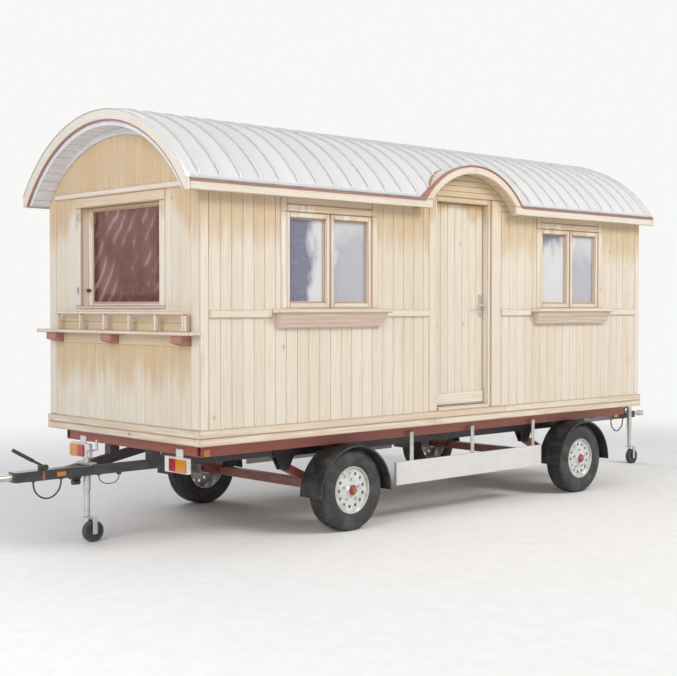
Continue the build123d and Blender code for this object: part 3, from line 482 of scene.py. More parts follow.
# Pieces
class Piece:
    """One mesh, made of planks and other shapes, that rides on a body."""

    def __init__(self, name, material, body="hut", slot="trim", smooth=False):
        self.name, self.material, self.body, self.slot, self.smooth = name, material, body, slot, smooth
        self.verts, self.faces, self.grain, self.tone = [], [], [], []

    def loops(self, rings, closed=False):
        """Skin a row of point loops; each point is a place and its place in the plank."""
        start, size, count = len(self.verts), len(rings[0]), len(rings)
        tone, shift = rng.random(), Vector((rng.uniform(0, 40), rng.uniform(0, 9), rng.uniform(0, 9)))
        for ring in rings:
            for point, local in ring:
                self.verts.append(point)
                self.grain.append(Vector(local) + shift)
                self.tone.append(tone)
        for k in range(count if closed else count - 1):
            a, b = start + k * size, start + (k + 1) % count * size
            for i in range(size):
                j = (i + 1) % size
                self.faces.append((a + i, a + j, b + j, b + i))
        if not closed:
            self.faces.append(tuple(range(start + size - 1, start - 1, -1)))
            last = start + (count - 1) * size
            self.faces.append(tuple(range(last, last + size)))

    def plank(self, outline, depth, origin, along, across, out, chamfer, back=True):
        """A board with its outline in along and across, its depth outwards, and eased edges."""
        inner = inset(outline, chamfer)
        levels = [(outline, chamfer if back else 0.0), (outline, depth - chamfer), (inner, depth)]
        if back:
            levels.insert(0, (inner, 0.0))
        rings = []
        for shape, w in levels:
            rings.append([(origin + along * u + across * v + out * w, (u, v, w)) for u, v in shape])
        self.loops(rings)

    def beam(self, xs, ys, zs, along, chamfer=0.004):
        """A board between two ends on each axis, its grain along one of them."""
        low, high = [Vector([pick(ends) for ends in (xs, ys, zs)]) for pick in (min, max)]
        size = high - low
        axes = (X, Y, Z)
        across, out = sorted([i for i in range(3) if i != along], key=lambda i: -size[i])
        outline = [(0, 0), (size[along], 0), (size[along], size[across]), (0, size[across])]
        ease = min(chamfer, size[out] * 0.3)
        self.plank(outline, size[out], low, axes[along], axes[across], axes[out], ease)

    def hull(self, rings, along):
        """Skin loops of plain points, the grain along one axis."""
        order = [along] + [i for i in range(3) if i != along]
        self.loops([[(Vector(p), [p[i] for i in order]) for p in ring] for ring in rings])

    def arc(self, centre, radii, ends, depth, axes, steps, chamfer=0.004):
        """A board bent round a centre, its grain along the bend; an end may depend on the radius."""
        (r0, r1), k = radii, chamfer
        across, up, out = axes
        section = [(r0 + k, 0), (r1 - k, 0), (r1, k), (r1, depth - k), (r1 - k, depth), (r0 + k, depth),
                   (r0, depth - k), (r0, k)]
        rings = []
        for step in range(steps + 1):
            ring = []
            for r, w in section:
                first, last = [end(r) if callable(end) else end for end in ends]
                turn = first + (last - first) * step / steps
                way = across * sin(turn) + up * cos(turn)
                ring.append((centre + way * r + out * w, (turn * r1, r, w)))
            rings.append(ring)
        self.loops(rings)

    def lathe(self, centre, axis, profile, steps):
        """A profile of radius and distance, turned about an axis."""
        side = X if abs(axis.x) < 0.5 else Z
        up = axis.cross(side)
        rings = []
        for step in range(steps):
            turn = 2 * pi * step / steps
            way = side * cos(turn) + up * sin(turn)
            rings.append([(centre + way * r + axis * d, (turn, r, d)) for r, d in profile])
        self.loops(rings, closed=True)

    def bar(self, start, axis, profile, steps):
        """A bar with flat ends along an axis, of as many sides as steps."""
        side = axis.orthogonal().normalized()
        up = axis.cross(side)
        ways = [side * cos(2 * pi * i / steps) + up * sin(2 * pi * i / steps) for i in range(steps)]
        rings = []
        for r, d in profile:
            rings.append([(start + axis * d + way * r, (d, i / steps, r)) for i, way in enumerate(ways)])
        self.loops(rings)

    def rod(self, start, end, radius, steps=12):
        """A round bar with eased ends."""
        start, run = Vector(start), Vector(end) - Vector(start)
        long = run.length
        ease = min(radius * 0.15, long * 0.3)
        profile = [(radius - ease, 0), (radius, ease), (radius, long - ease), (radius - ease, long)]
        self.bar(start, run.normalized(), profile, steps)

    def make(self, *replaced):
        mesh = bpy.data.meshes.new(self.name)
        mesh.from_pydata([tuple(v) for v in self.verts], [], self.faces)
        grain = mesh.attributes.new("grain", "FLOAT_VECTOR", "POINT")
        grain.data.foreach_set("vector", [c for g in self.grain for c in g])
        mesh.attributes.new("tone", "FLOAT", "POINT").data.foreach_set("value", self.tone)
        bm = bmesh.new()
        bm.from_mesh(mesh)
        bmesh.ops.recalc_face_normals(bm, faces=bm.faces)
        bm.to_mesh(mesh)
        bm.free()
        if self.smooth:
            mesh.shade_smooth()
            mesh.set_sharp_from_angle(angle=radians(35))
        mesh.materials.append(self.material)
        piece = bpy.data.objects.new(self.name, mesh)
        scene.collection.objects.link(piece)
        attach(piece, self.body)
        if replaced:
            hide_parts(*replaced)


def fitting(name, material, body="hut", slot="handle_steel"):
    return Piece(name, material, body, slot, smooth=True)


def inset(outline, by):
    """A convex outline drawn in by an even margin."""
    points = [Vector(p) for p in outline]
    turn = sum(a.x * b.y - b.x * a.y for a, b in zip(points, points[1:] + points[:1]))
    sign = 1 if turn > 0 else -1
    result = []
    for i, point in enumerate(points):
        first = (point - points[i - 1]).normalized()
        second = (points[(i + 1) % len(points)] - point).normalized()
        n1, n2 = Vector((-first.y, first.x)) * sign, Vector((-second.y, second.x)) * sign
        move = (n1 + n2) / max(1 + n1.dot(n2), 0.2) * by
        result.append(tuple(point + move))
    return result


def split(start, end, width):
    """Even divisions of a length, near a width."""
    count = max(1, round((end - start) / width))
    return [start + (end - start) * i / count for i in range(count + 1)]


def strips(start, end, width):
    """Even strips of a length, near a width, each as its two edges."""
    edges = split(start, end, width)
    return zip(edges, edges[1:])


def spread(middle, half):
    return middle - half, middle + half


def on_side(side, *depths):
    return [side * depth for depth in depths]


# Cladding of upright boards, planted on the wall panels between the posts
BOARD, GAP = 0.122, 0.0012
HOLE_HALF, HOLE_LOW, HOLE_TOP = 0.5, 1.93, 2.74
END_HALF, END_LOW, END_TOP = 0.612, 1.93, 2.83


def upright(piece, low, tops, origin, across, out):
    """One upright board from a height up to a top that may slope or curve."""
    left, right = tops[0][0] + GAP, tops[-1][0] - GAP
    outline = [(low, left)] + [(top, min(max(u, left), right)) for u, top in tops] + [(low, right)]
    piece.plank(outline, SKIN, origin, Z, across, out, 0.0035, back=False)


def clad_side(name, runs, side):
    piece = Piece(name, side_wood, slot="boards")
    origin, out = Vector((0, side * WALL_Y, 0)), Y * side
    top = soffit(WALL_Y) - 0.004
    for start, end, holes in runs:
        stops = [start] + [edge for hole in holes for edge in spread(hole, HOLE_HALF)] + [end]
        for index, (a, b) in enumerate(zip(stops, stops[1:])):
            heights = ((BASE_TOP, HOLE_LOW), (HOLE_TOP, top)) if index % 2 else ((BASE_TOP, top),)
            for x0, x1 in strips(a, b, BOARD):
                for low, high in heights:
                    upright(piece, low, [(x0, high), (x1, high)], origin, X, out)
    piece.make()


clad_side("cladding_door_side", [(RUN[0], JAMBS[0], WINDOWS[:1]), (JAMBS[1], RUN[1], WINDOWS[1:])], -1)
clad_side("cladding_far_side", [(*RUN, WINDOWS)], 1)


def clad_end(name, wood, wall, out):
    piece = Piece(name, wood, slot="boards")
    origin = Vector((wall, 0, 0))
    under, over = END_LOW - 0.002, END_TOP + 0.002
    for a, b in ((-PANEL, -END_HALF), (-END_HALF, END_HALF), (END_HALF, PANEL)):
        for y0, y1 in strips(a, b, BOARD):
            tops = [(y, soffit(y) - 0.002) for y in (y0, (y0 + y1) / 2, y1)]
            low = BASE_TOP
            if a == -END_HALF:
                upright(piece, low, [(y0, under), (y1, under)], origin, Y, out)
                low = over
            upright(piece, low, tops, origin, Y, out)
    piece.make()


clad_end("cladding_front", end_wood, WALL_X[0], -X)
clad_end("cladding_rear", rear_wood, WALL_X[1], X)

# Arched board on each gable, under the roof boards
CRESCENT_R, CRESCENT_TOP, CRESCENT_DEEP = 1.5593, 3.385, 0.014
crescent = Piece("gable_arches", grey_wood)
for x in (WALL_X[0] - SKIN - CRESCENT_DEEP, WALL_X[1] + SKIN):
    for start, end in ((-0.93, -0.001), (0.001, 0.93)):
        rings = []
        for y in split(start, end, 0.06):
            low, high = CRESCENT_TOP - CRESCENT_R + sqrt(CRESCENT_R ** 2 - y * y), soffit(y) - 0.001
            face = x + CRESCENT_DEEP
            rings.append([(x, y, low), (face, y, low), (face, y, high), (x, y, high)])
        crescent.hull(rings, 1)
crescent.make()

# Level boards of the tympanum, cut to the vault and to the door head
tympanum = Piece("tympanum_boards", gable_wood, slot="boards")
for z0, z1 in strips(2.872, 3.186, 0.052):
    zs = (z0 + GAP, (z0 + z1) / 2, z1 - GAP)
    reaches = [sqrt((CANOPY_R - ARCH_DEEP - 0.003) ** 2 - (z - VAULT_Z) ** 2) for z in zs]
    left = [(CANOPY_X - reach, z) for reach, z in zip(reaches, zs)]
    right = [(CANOPY_X + reach, z) for reach, z in zip(reaches, zs)]
    shapes = [left[::-1] + right]
    if z0 < DOOR_HEAD - 0.001:
        a, b = JAMBS
        shapes = [left[::-1] + [(a, zs[0]), (a, zs[2])], right + [(b, zs[2]), (b, zs[0])]]
    for shape in shapes:
        tympanum.plank(shape, SKIN, Vector((0, -WALL_Y, 0)), X, Z, -Y, 0.003, back=False)
tympanum.make()

# Corner posts
posts = Piece("corner_post_timbers", post_wood)
for x in (FRONT, RUN[1]):
    for side in (-1, 1):
        outer, inner = side * HALF, side * PANEL
        outline = [(BASE_TOP, outer), (soffit(outer), outer), (soffit(inner), inner), (BASE_TOP, inner)]
        posts.plank(outline, POST_LONG, Vector((x, 0, 0)), Z, Y, X, 0.005)
posts.make("corner_posts")

# Base boards, two courses all round, with butt joints along the sides
BASE_DEEP, BASE_FACE = 0.075, 1.14
base = Piece("base_timbers", base_wood)
for low, high, joint in ((BASE_LOW, 0.9155, -0.62), (0.917, BASE_TOP, 0.41)):
    for side in (-1, 1):
        for xs in ((FRONT - 0.015, joint), (joint + 0.002, REAR + 0.015)):
            base.beam(xs, on_side(side, BASE_FACE - BASE_DEEP, BASE_FACE), (low, high), 0)
    for x in (FRONT - 0.015, REAR - 0.06):
        base.beam((x, x + BASE_DEEP), (-1.064, 1.064), (low, high), 1)
base.make("base_boards")

# Belt rails, gable rails and eave fascias
rails = Piece("belt_timbers", trim_wood)
sill_ends = [spread(mid, SILL) for mid in WINDOWS]
near = [RUN[0], *sill_ends[0], *DOOR_EDGES, *sill_ends[1], RUN[1]]
far = [RUN[0], *sill_ends[0], *sill_ends[1], RUN[1]]
for side, stops in ((-1, near), (1, far)):
    for xs in zip(stops[::2], stops[1::2]):
        rails.beam(xs, on_side(side, WALL_Y, WALL_Y + 0.028), (1.857, 1.925), 0, 0.005)
for xs in ((WALL_X[0] - 0.03, WALL_X[0]), (WALL_X[1], WALL_X[1] + 0.03)):
    rails.beam(xs, (-PANEL, PANEL), (2.895, 2.945), 1, 0.005)
rails.make("belt_rails")


def eave_runs(radius):
    """The side and ends of each run along the eaves, stopped at the canopy on the door side."""
    foot = sqrt(radius ** 2 - (FASCIA_TOP - VAULT_Z) ** 2)
    start, end = BARGE_X[0] + BARGE_DEEP, BARGE_X[1]
    return (-1, (start, CANOPY_X - foot)), (-1, (CANOPY_X + foot, end)), (1, (start, end))


fascia = Piece("fascia_timbers", trim_wood)
for side, xs in eave_runs(CANOPY_R - ARCH_DEEP):
    fascia.beam(xs, on_side(side, EAVE - 0.025, EAVE), (FASCIA_LOW, FASCIA_TOP), 0)
fascia.make("eave_fascias")


# Bargeboards, with feet cut to the eave, and the arched board of the canopy
def barge_end(radius):
    return min(asin(EAVE / radius), acos((FASCIA_LOW - ARCH_Z) / radius))


def arch_end(radius):
    return acos((FASCIA_TOP + 0.0003 - VAULT_Z) / radius)


barge = Piece("barge_timbers", barge_wood)
bead = Piece("barge_beads", brown_wood)
BARGE_R = ROOF_R - 0.082
toe = sqrt(BARGE_R ** 2 - (FASCIA_LOW - ARCH_Z) ** 2)
bead_end = acos((FASCIA_LOW + 0.012 - ARCH_Z) / BARGE_R)
for x in BARGE_X:
    for ends in ((lambda r: -barge_end(r), -0.33), (-0.329, 0.33), (0.331, barge_end)):
        barge.arc(Vector((x, 0, ARCH_Z)), (BARGE_R, ROOF_R), ends, BARGE_DEEP, (Y, Z, X), 22)
    radii = (BARGE_R - 0.011, BARGE_R - 0.0003)
    bead.arc(Vector((x + 0.004, 0, ARCH_Z)), radii, (-bead_end, bead_end), 0.02, (Y, Z, X), 60, 0.002)
    for side in (-1, 1):
        foot = [(side * toe, FASCIA_LOW), (side * EAVE, FASCIA_LOW), (side * EAVE, FASCIA_TOP)]
        barge.hull([[(at, y, z) for y, z in foot] for at in (x + 0.002, x + BARGE_DEEP - 0.002)], 1)
barge.make("barge_boards")
bead.make()

arch = Piece("canopy_timbers", trim_wood)
for ends in ((lambda r: -arch_end(r), -0.001), (0.001, arch_end)):
    arch.arc(Vector((CANOPY_X, -EAVE, VAULT_Z)), (CANOPY_R - ARCH_DEEP, CANOPY_R), ends, 0.03, (X, Z, Y), 24)
arch.make("canopy_arch")

# Side windows: casing, two sashes with beads, sill and apron
CASING_FACE, CASING_BACK = 1.131, 1.04
HEAD, FRIEZE_TOP = 2.735, 2.853
SASH_Y, SASH_Z = (1.062, 1.121), (1.937, 2.733)
BEAD_Y, BEAD_WIDE = (1.0817, 1.098), 0.012
SILL_LOW, SILL_TOP = 1.897, 1.935
SILL_SECTION = [(WALL_Y, SILL_LOW), (1.219, SILL_LOW), (1.225, 1.903), (1.225, 1.925), (1.221, 1.929),
                (WALL_Y, SILL_TOP)]
APRON_LEVELS = ((0.59, 0.046, 1.777), (0.615, 0.094, 1.890), (0.615, 0.098, SILL_LOW - 0.0002))
joinery = Piece("window_joinery", window_wood)
ledges = Piece("sill_timbers", trim_wood)
# The aprons' darker, redder colour is painted shade under the sills
aprons = Piece("apron_boards", apron_shade_wood)


def side_window(mid, side):
    def board(across, depths, heights, along, ease=0.004):
        joinery.beam([mid + u for u in across], on_side(side, *depths), heights, along, ease)

    for edge in (-1, 1):
        jamb = (edge * 0.494, edge * 0.562)
        board(jamb, (CASING_BACK, CASING_FACE), (SILL_TOP, HEAD), 2)
        board(jamb, (1.126, CASING_FACE), (HEAD, FRIEZE_TOP), 2, 0.002)
    between = (-0.4935, 0.4935)
    board(between, (CASING_BACK, CASING_FACE), (HEAD + 0.0005, 2.797), 0)
    board(between, (1.1252, 1.13), (2.7985, FRIEZE_TOP), 0, 0.002)
    board((-0.014, 0.014), (1.03, 1.11), SASH_Z, 2, 0.003)
    for pane in (-1, 1):
        for stile in ((0.0075, 0.046), (0.452, 0.492)):
            board(on_side(pane, *stile), SASH_Y, SASH_Z, 2)
        left, right = sorted(on_side(pane, 0.0465, 0.4515))
        for heights in ((SASH_Z[0], 1.983), (2.687, SASH_Z[1])):
            board((left, right), SASH_Y, heights, 0)
        for low in (1.983, 2.675):
            board((left, right), BEAD_Y, (low, low + BEAD_WIDE), 0, 0.003)
        for start in (left, right - BEAD_WIDE):
            board((start, start + BEAD_WIDE), BEAD_Y, (1.9955, 2.6745), 2, 0.003)
    ledges.hull([[(x, side * y, z) for y, z in SILL_SECTION] for x in spread(mid, SILL)], 0)
    rings = []
    for half, reach, z in APRON_LEVELS:
        (left, right), (wall, face) = spread(mid, half), on_side(side, WALL_Y, WALL_Y + reach)
        rings.append([(left, wall, z), (right, wall, z), (right, face, z), (left, face, z)])
    aprons.hull(rings, 0)


for side in (-1, 1):
    for mid in WINDOWS:
        side_window(mid, side)
ledges.make("window_sills")
aprons.make()

# End windows: one light set deep in a lined opening, with hinge plates and a knob
LINING, FACING = (-0.089, 0.0), (0.0, 0.018)
DEEP_SASH, DEEP_BEAD = (-0.089, -0.060), (-0.0715, -0.063)
FACING_HALF, PLATE_WIDE, PLATE_HIGH = 0.674, 0.017, 0.036
KNOB = [(0.0001, 0), (0.011, 0), (0.009, 0.012), (0.016, 0.02), (0.017, 0.03), (0.011, 0.037),
        (0.0001, 0.038)]
fittings = fitting("window_fittings", dull_metal)
knobs = fitting("window_knobs", black_plastic)


def end_window(wall, out):
    def board(depths, ys, heights, along, ease=0.004):
        joinery.beam([wall + out * depth for depth in depths], ys, heights, along, ease)

    for edge in (-1, 1):
        board(LINING, (edge * 0.590, edge * END_HALF), (END_LOW, END_TOP), 2, 0.003)
        board(FACING, (edge * 0.590, edge * FACING_HALF), (1.953, 2.807), 2)
        board(DEEP_SASH, (edge * 0.520, edge * 0.5895), (1.9525, 2.8075), 2)
        board(DEEP_BEAD, (edge * 0.508, edge * 0.5195), (1.978, 2.782), 2, 0.003)
    for heights in ((END_LOW, 1.952), (2.808, END_TOP)):
        board(LINING, (-0.5898, 0.5898), heights, 1, 0.003)
    board(FACING, (-FACING_HALF, FACING_HALF), (END_LOW, 1.9525), 1)
    board((0.0, 0.020), (-FACING_HALF, FACING_HALF), (2.8075, 2.894), 1)
    for heights in ((1.9525, 1.978), (2.782, 2.8075)):
        board(DEEP_SASH, (-0.5195, 0.5195), heights, 1)
    for heights in ((1.978, 1.990), (2.770, 2.782)):
        board(DEEP_BEAD, (-0.5075, 0.5075), heights, 1, 0.003)
    turns = [pi * i / 12 for i in range(24)]
    for z in (2.09, 2.73):
        rings = []
        for grow, depth in ((1.0, 0.018), (1.0, 0.021), (0.8, 0.0235)):
            wide, high = PLATE_WIDE * grow, PLATE_HIGH * grow
            rings.append([(wall + out * depth, 0.632 + wide * cos(a), z + high * sin(a)) for a in turns])
        fittings.hull(rings, 2)
    knobs.lathe(Vector((wall - out * 0.060, 0.552, 2.09)), X * out, KNOB, 20)


end_window(WALL_X[0], -1)
end_window(WALL_X[1], 1)
joinery.make("window_frames")
fittings.make()
knobs.make()

# Planter shelf, rail, a board of painted shade behind it, ledger and bracket blocks
SHELF_LOW, SHELF_TOP, SHELF_HALF = 1.722, 1.752, 1.145
RAIL_START, RAIL_LONG, RAIL_POST, RAIL_POSTS = -1.05, 1.9, 0.032, 6
LEDGER_DEEP = 0.022
planter = Piece("shelf_timbers", trim_wood)
for xs in ((-3.423, -3.362), (-3.36, FRONT)):
    planter.beam(xs, (-SHELF_HALF, SHELF_HALF), (SHELF_LOW, SHELF_TOP), 1, 0.005)
planter.make("planter_shelf")
rail = Piece("rail_timbers", trim_wood)
rail.beam((-3.404, -3.366), (RAIL_START - 0.008, RAIL_START + RAIL_LONG + 0.008), (1.885, 1.912), 1, 0.005)
for i in range(RAIL_POSTS):
    y = RAIL_START + i * (RAIL_LONG - RAIL_POST) / (RAIL_POSTS - 1)
    rail.beam((-3.401, -3.369), (y, y + RAIL_POST), (SHELF_TOP, 1.8848), 2)
rail.make("planter_rail")
# Painted shade: a darker ochre board on the wall behind the rail, for the shade between the rail posts
backing = Piece("planter_backing", painted_shade_wood, slot="boards")
for heights in ((1.7525, 1.8175), (1.819, 1.884)):
    backing.beam((FRONT - 0.012, FRONT - 0.0005), (-PANEL, PANEL), heights, 1, 0.003)
backing.make()
# The ledger under the shelf takes the same painted shade
ledger = Piece("ledger_timber", painted_shade_wood)
ledger.beam((WALL_X[0] - LEDGER_DEEP, WALL_X[0]), (-PANEL, PANEL), (1.634, SHELF_LOW), 1)
ledger.make("shelf_brackets")
blocks = Piece("bracket_blocks", brown_wood)
for y in (-0.945, 0.06, 0.945):
    outline = [(-0.113, SHELF_LOW), (-LEDGER_DEEP, SHELF_LOW), (-LEDGER_DEEP, 1.637), (-0.113, 1.662)]
    blocks.plank(outline, 0.15, Vector((WALL_X[0], y - 0.075, 0)), X, Z, Y, 0.004)
blocks.make()

# Door frame: jambs, casings, head and threshold
FRAME_BACK = -1.023
surround = Piece("door_surround", surround_wood)
for edge, jamb in zip((-1, 1), JAMBS):
    surround.beam((DOOR_X + edge * 0.36, jamb), (-WALL_Y, FRAME_BACK), (BASE_TOP, DOOR_HEAD), 2)
for xs in ((DOOR_EDGES[0], DOOR_X - 0.399), (DOOR_X + 0.399, DOOR_EDGES[1])):
    surround.beam(xs, (-CASING_FACE, -1.1135), (BASE_TOP, DOOR_HEAD), 2)
clear = spread(DOOR_X, 0.3597)
surround.beam(clear, (-WALL_Y, FRAME_BACK), (2.925, DOOR_HEAD), 0)
surround.beam(clear, (-CASING_FACE, FRAME_BACK), (BASE_TOP, 1.01), 0)
surround.make("door_frame")

# Hinges: iron lugs on the frame and barrels on the door
HINGE_X, HINGE_Y = -0.541, -1.065
LEAF_LOW, LEAF_TOP = 1.015, 2.92
lugs = fitting("hinge_lugs", handle_metal)
barrels = fitting("hinge_barrels", handle_metal, "door")


def pin(piece, heights, radius):
    piece.rod(*[(HINGE_X, HINGE_Y, z) for z in heights], radius)


for share in (0.0971, 0.4908, 0.8845):
    z = LEAF_LOW + (LEAF_TOP - LEAF_LOW) * share
    pin(lugs, spread(z, 0.051), 0.005)
    for middle in spread(z, 0.042):
        ends = spread(middle, 0.007)
        pin(lugs, ends, 0.0085)
        lugs.beam((-0.557, HINGE_X), spread(HINGE_Y, 0.0015), ends, 0, 0.001)
    ends = spread(z, 0.03)
    pin(barrels, ends, 0.008)
    barrels.beam((HINGE_X, HINGE_X + 0.03), (-1.0565, -1.053), ends, 0, 0.001)
lugs.make()
barrels.make()

# Door leaf of upright boards with a weather board at its foot, and its lock
leaf = Piece("door_boards", door_wood, "door")
for x0, x1 in strips(-0.55, 0.16, 0.10):
    leaf.beam((x0 + GAP * 0.5, x1 - GAP * 0.5), (-1.053, -1.008), (LEAF_LOW, LEAF_TOP), 2, 0.005)
leaf.beam((-0.515, 0.15), (-1.071, -1.0535), (1.03, 1.135), 0, 0.005)
leaf.make("door_leaf")
lock = fitting("door_lock", handle_metal, "door")
for z, r in ((1.895, 0.014), (1.868, 0.006), (2.052, 0.006)):
    dome = [(0.0001, 0), (r, 0), (r * 0.9, r * 0.3), (0.0001, r * 0.45)]
    lock.lathe(Vector((0.115, -1.061, z)), -Y, dome, 20)
lock.make()

# Metal drip edges along the eaves, dark as a painted shadow line, over a stained bead, and along the
# bargeboards
DRIP = 0.006
plate = Piece("eave_drip", drip_shadow_metal, slot="roof_sheet")
strip = Piece("eave_beads", brown_wood)
for side, xs in eave_runs(CANOPY_R + DRIP):
    plate.beam(xs, on_side(side, EAVE + 0.008, EAVE - 0.03), (2.9225, 2.9345), 0, 0.001)
    strip.beam(xs, on_side(side, EAVE + DRIP, EAVE + 0.0003), (2.905, 2.922), 0, 0.002)
plate.make()
strip.make()
drip = Piece("roof_edge_trim", seam_zinc, slot="roof_sheet")
limit = asin(EAVE / (ROOF_R + DRIP))
for x in BARGE_X:
    radii = (ROOF_R + 0.0005, ROOF_R + DRIP)
    drip.arc(Vector((x - DRIP, 0, ARCH_Z)), radii, (-limit, limit), 0.04, (Y, Z, X), 60, 0.001)
drip.make()

# Stained strip along the canopy's front edge, with a block where its left foot meets the eave
edging = Piece("canopy_edging", brown_wood)
edging.arc(Vector((CANOPY_X, -EAVE - 0.008, VAULT_Z)), (CANOPY_R + 0.0003, CANOPY_R + 0.014),
           (lambda r: -arch_end(r), arch_end), 0.045, (X, Z, Y), 48, 0.002)
wedge = [(-0.905, 2.9347), (-0.849, 2.9347), (-0.775, 3.008), (-0.80, 3.012)]
edging.hull([[(x, y, z) for x, z in wedge] for y in (-EAVE - 0.006, -EAVE + 0.03)], 0)
edging.make()

# Tyres: a turned carcass with ribs on the wall, and tread blocks between the grooves
CARCASS = [(0.203, -0.0815), (0.2045, -0.087), (0.212, -0.0925), (0.222, -0.0985), (0.24, -0.1015),
           (0.262, -0.1022), (0.266, -0.1036), (0.270, -0.1036), (0.274, -0.1022), (0.30, -0.1005),
           (0.322, -0.0972), (0.338, -0.091), (0.345, -0.083), (0.347, -0.07)]
CARCASS += [(r, -d) for r, d in reversed(CARCASS)]
TREAD_ROWS = ((-0.084, -0.052, 0.35), (-0.046, -0.0185, -0.2), (-0.0135, 0.0135, 0.0), (0.0185, 0.046, 0.2),
              (0.052, 0.084, -0.35))
TREAD_BLOCKS, TREAD_HALF = 62, 0.084


def spoke(turn):
    return X * cos(turn) + Z * sin(turn)


def tyre(name, centre):
    piece = fitting("tyre_carcass_" + name, tyre_rubber, "wheel_" + name, "tyre")
    piece.lathe(centre, Y, CARCASS, 72)
    for i in range(TREAD_BLOCKS):
        for row, (d0, d1, lean) in enumerate(TREAD_ROWS):
            turn = 2 * pi * (i + 0.5 * (row % 2)) / TREAD_BLOCKS
            wide = 2 * pi / TREAD_BLOCKS * (0.40 if row != 2 else 0.46)
            rings = []
            for r, ease in ((0.343, 0.0), (0.3555, 0.0), (TYRE_R, 0.0016)):
                ring = []
                for da, d in ((-wide, d0 + ease), (wide, d0 + ease), (wide, d1 - ease), (-wide, d1 - ease)):
                    a = turn + da * (1 - ease * 60) + lean * (d - (d0 + d1) / 2) / TYRE_R
                    drop = 0.006 * (abs(d) / TREAD_HALF) ** 4
                    ring.append((centre + spoke(a) * (r - drop) + Y * d, (a, r, d)))
                rings.append(ring)
            piece.loops(rings)
    piece.make("tyre_" + name)


# Wheel fittings: nuts on washers with a valve stem, a grease cap and a flange round the rim
FACE, NUT_R, NUT_HIGH = 0.0705, 0.0125, 0.016
WASHER = [(0.0001, -0.002), (0.016, -0.002), (0.0155, 0.003), (0.0001, 0.003)]
NUT = [(NUT_R, 0.0), (NUT_R, NUT_HIGH * 0.8), (NUT_R * 0.82, NUT_HIGH)]
BELL = [(0.0001, -0.002), (0.032, -0.002), (0.032, 0.004), (0.028, 0.006), (0.027, 0.019), (0.022, 0.026),
        (0.011, 0.029), (0.0001, 0.03)]
FLANGE = [(0.194, 0.074), (0.204, 0.074), (0.2085, 0.078), (0.2095, 0.084), (0.207, 0.088), (0.201, 0.0885),
          (0.196, 0.086), (0.194, 0.082)]


def wheel_fittings(name, centre, out):
    on_wheel = ("wheel_" + name, "rim")
    nuts = fitting("wheel_nuts_" + name, plated, *on_wheel)
    for i in range(5):
        spot = centre + spoke(2 * pi * i / 5 + 0.3) * 0.092 + out * FACE
        nuts.lathe(spot, out, WASHER, 16)
        nuts.bar(spot + out * 0.003, out, NUT, 6)
    stem = centre + spoke(2.2) * 0.182 + out * FACE
    nuts.rod(stem, stem + out * 0.03, 0.0045)
    nuts.make()
    cap = fitting("grease_cap_" + name, red_oxide, *on_wheel)
    cap.lathe(centre + out * (FACE + 0.028), out, BELL, 28)
    cap.make()
    ring = fitting("rim_flange_" + name, plated, *on_wheel)
    ring.lathe(centre, out, FLANGE, 64)
    ring.make()


for name, (x, side) in WHEELS.items():
    hub = Vector((x, side * TRACK, TYRE_R))
    tyre(name, hub)
    wheel_fittings(name, hub, Y * side)

# Clamp band round the foot of the front brake lever, and a parking socket under the housing
band = Piece("lever_clamp", red_oxide, slot="black_steel")
band.beam((-4.062, -4.038), (-0.0605, -0.0548), (0.5585, 0.6402), 2, 0.002)
band.make()
socket = fitting("cable_socket", black_paint, slot="black_steel")
socket.beam((-3.776, -3.69), (-0.03, 0.03), (0.535, 0.5603), 0)
socket.rod((-3.76, 0, 0.512), (-3.69, 0, 0.512), 0.024, 20)
socket.make()

# Cords: the points of their routes, hung from the clips under the tow bars
CABLE = ((0, 0), (0, -0.038), (0.021, -0.09), (0.068, -0.132), (0.126, -0.148), (0.184, -0.133),
         (0.232, -0.091), (0.253, -0.038), (0.253, 0))
WIRE = ((0, 0), (0, -0.016), (0.009, -0.041), (0.037, -0.065), (0.083, -0.073), (0.129, -0.065),
        (0.157, -0.041), (0.166, -0.016), (0.166, 0))
LEG_LONG, LEG_OUT, LEG_Y = 1.56, 0.693, 0.03


def cord(name, node, start, way, route, radius):
    points = [Vector(start) + Vector(way).normalized() * u + Z * w for u, w in route]
    curve = bpy.data.curves.new(name, "CURVE")
    curve.dimensions = "3D"
    spline = curve.splines.new("NURBS")
    spline.points.add(len(points) - 1)
    for place, point in zip(spline.points, points):
        place.co = (*point, 1.0)
    spline.order_u = 3
    spline.use_endpoint_u = True
    spline.resolution_u = 12
    curve.bevel_depth = radius
    curve.bevel_resolution = 4
    curve.materials.append(cable_rubber)
    piece = bpy.data.objects.new(name, curve)
    scene.collection.objects.link(piece)
    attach(piece, "hut")
    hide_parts(node)


cord("cable_loop_front", "cable_front_wide", (-4.115, 0, 0.548), (1, 0, 0), CABLE, 0.007)
cord("cable_loop_rear", "cable_rear_wide", (4.115, 0, 0.548), (-1, 0, 0), CABLE, 0.007)
clip = (-3.585, -LEG_Y - LEG_OUT * 0.215 / LEG_LONG, 0.566)
cord("wire_loop_front", "cable_front_small", clip, (LEG_LONG, -LEG_OUT, 0), WIRE, 0.004)

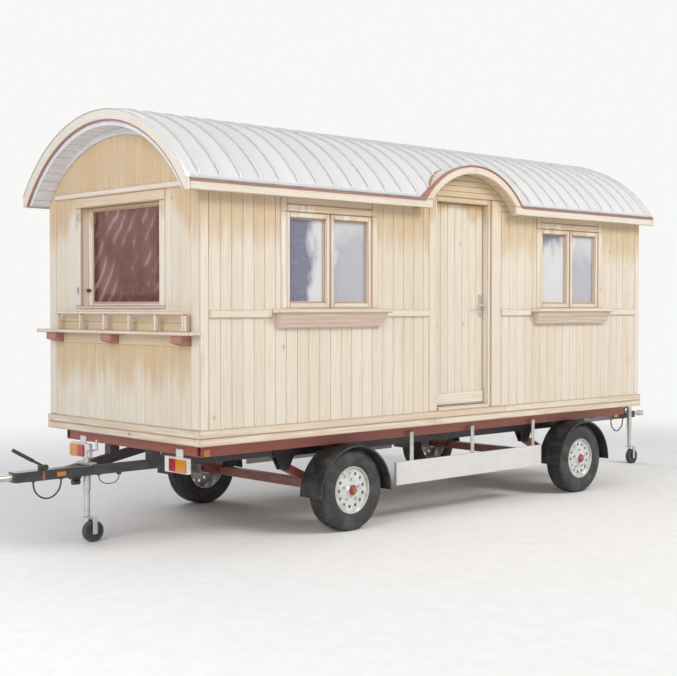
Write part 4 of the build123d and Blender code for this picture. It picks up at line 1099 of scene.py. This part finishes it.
# Stage: pale floor that fades to the backdrop, soft lamps, and the camera of the drawing
BACK, FLOOR_HALF = (0.94, 0.935, 0.925), 60
ground = bpy.data.meshes.new("studio_floor")
corners = [(x * FLOOR_HALF, y * FLOOR_HALF, 0) for x, y in ((-1, -1), (1, -1), (1, 1), (-1, 1))]
ground.from_pydata(corners, [], [(0, 1, 2, 3)])
floor = bpy.data.objects.new("studio_floor", ground)
scene.collection.objects.link(floor)
t = Tree("studio_floor")
paper = t.noise(6, 4)
t.out(t.mix(t.ramp(paper, 0.3, 0.7), (0.80, 0.795, 0.78), (0.84, 0.835, 0.825)), 0.9)
far = t.add("VectorMath", {0: t.coords()}, operation="LENGTH").outputs["Value"]
glow = t.add("Emission", {"Color": BACK, "Strength": 1.0})
fade = t.times(t.ramp(far, 5.5, 11.0), t.seen())
join = t.add("MixShader", {0: fade, 1: t.bsdf.outputs[0], 2: glow.outputs[0]})
t.put(t.tree.nodes["Material Output"].inputs["Surface"], join.outputs[0])
ground.materials.append(t.owner)

t = Tree("studio", "worlds")
scene.world = t.owner
t.tree.nodes.clear()
sky = t.add("Background", {"Color": (0.93, 0.95, 1.0), "Strength": 0.5})
shown = t.add("Background", {"Color": BACK})
join = t.add("MixShader", {0: t.seen(), 1: sky.outputs[0], 2: shown.outputs[0]})
t.add("OutputWorld", {"Surface": join.outputs[0]})


def aim(obj, place, way):
    """Put a lamp or camera in the scene, looking along a direction."""
    obj.location = place
    obj.rotation_euler = Vector(way).to_track_quat("-Z", "Y").to_euler()
    scene.collection.objects.link(obj)


def lamp(name, place, target, size, power, color=(1, 1, 1)):
    data = bpy.data.lights.new(name, "AREA")
    data.shape = "DISK"
    data.size, data.energy, data.color = size, power, color
    aim(bpy.data.objects.new(name, data), place, Vector(target) - Vector(place))


lamp("key", (3.5, -11.0, 10.5), (-0.3, 0, 1.4), 6.0, 1150, (1.0, 0.97, 0.92))
lamp("fill", (-12.0, -4.0, 6.0), (-1.0, 0, 1.5), 8.0, 640, (0.96, 0.97, 1.0))
lamp("back", (2.0, 12.0, 9.0), (0, 0, 1.5), 8.0, 450)

FOCUS_PIXELS, WIDTH_PIXELS = 1243.9, 677
camera = bpy.data.cameras.new("camera")
camera.sensor_fit = "HORIZONTAL"
camera.sensor_width = 36.0
camera.lens = FOCUS_PIXELS * camera.sensor_width / WIDTH_PIXELS
view = bpy.data.objects.new("camera", camera)
aim(view, (-9.122, -8.889, 1.949), (0.6847, 0.7284, -0.0252))
scene.camera = view
scene.view_settings.view_transform = "Standard"
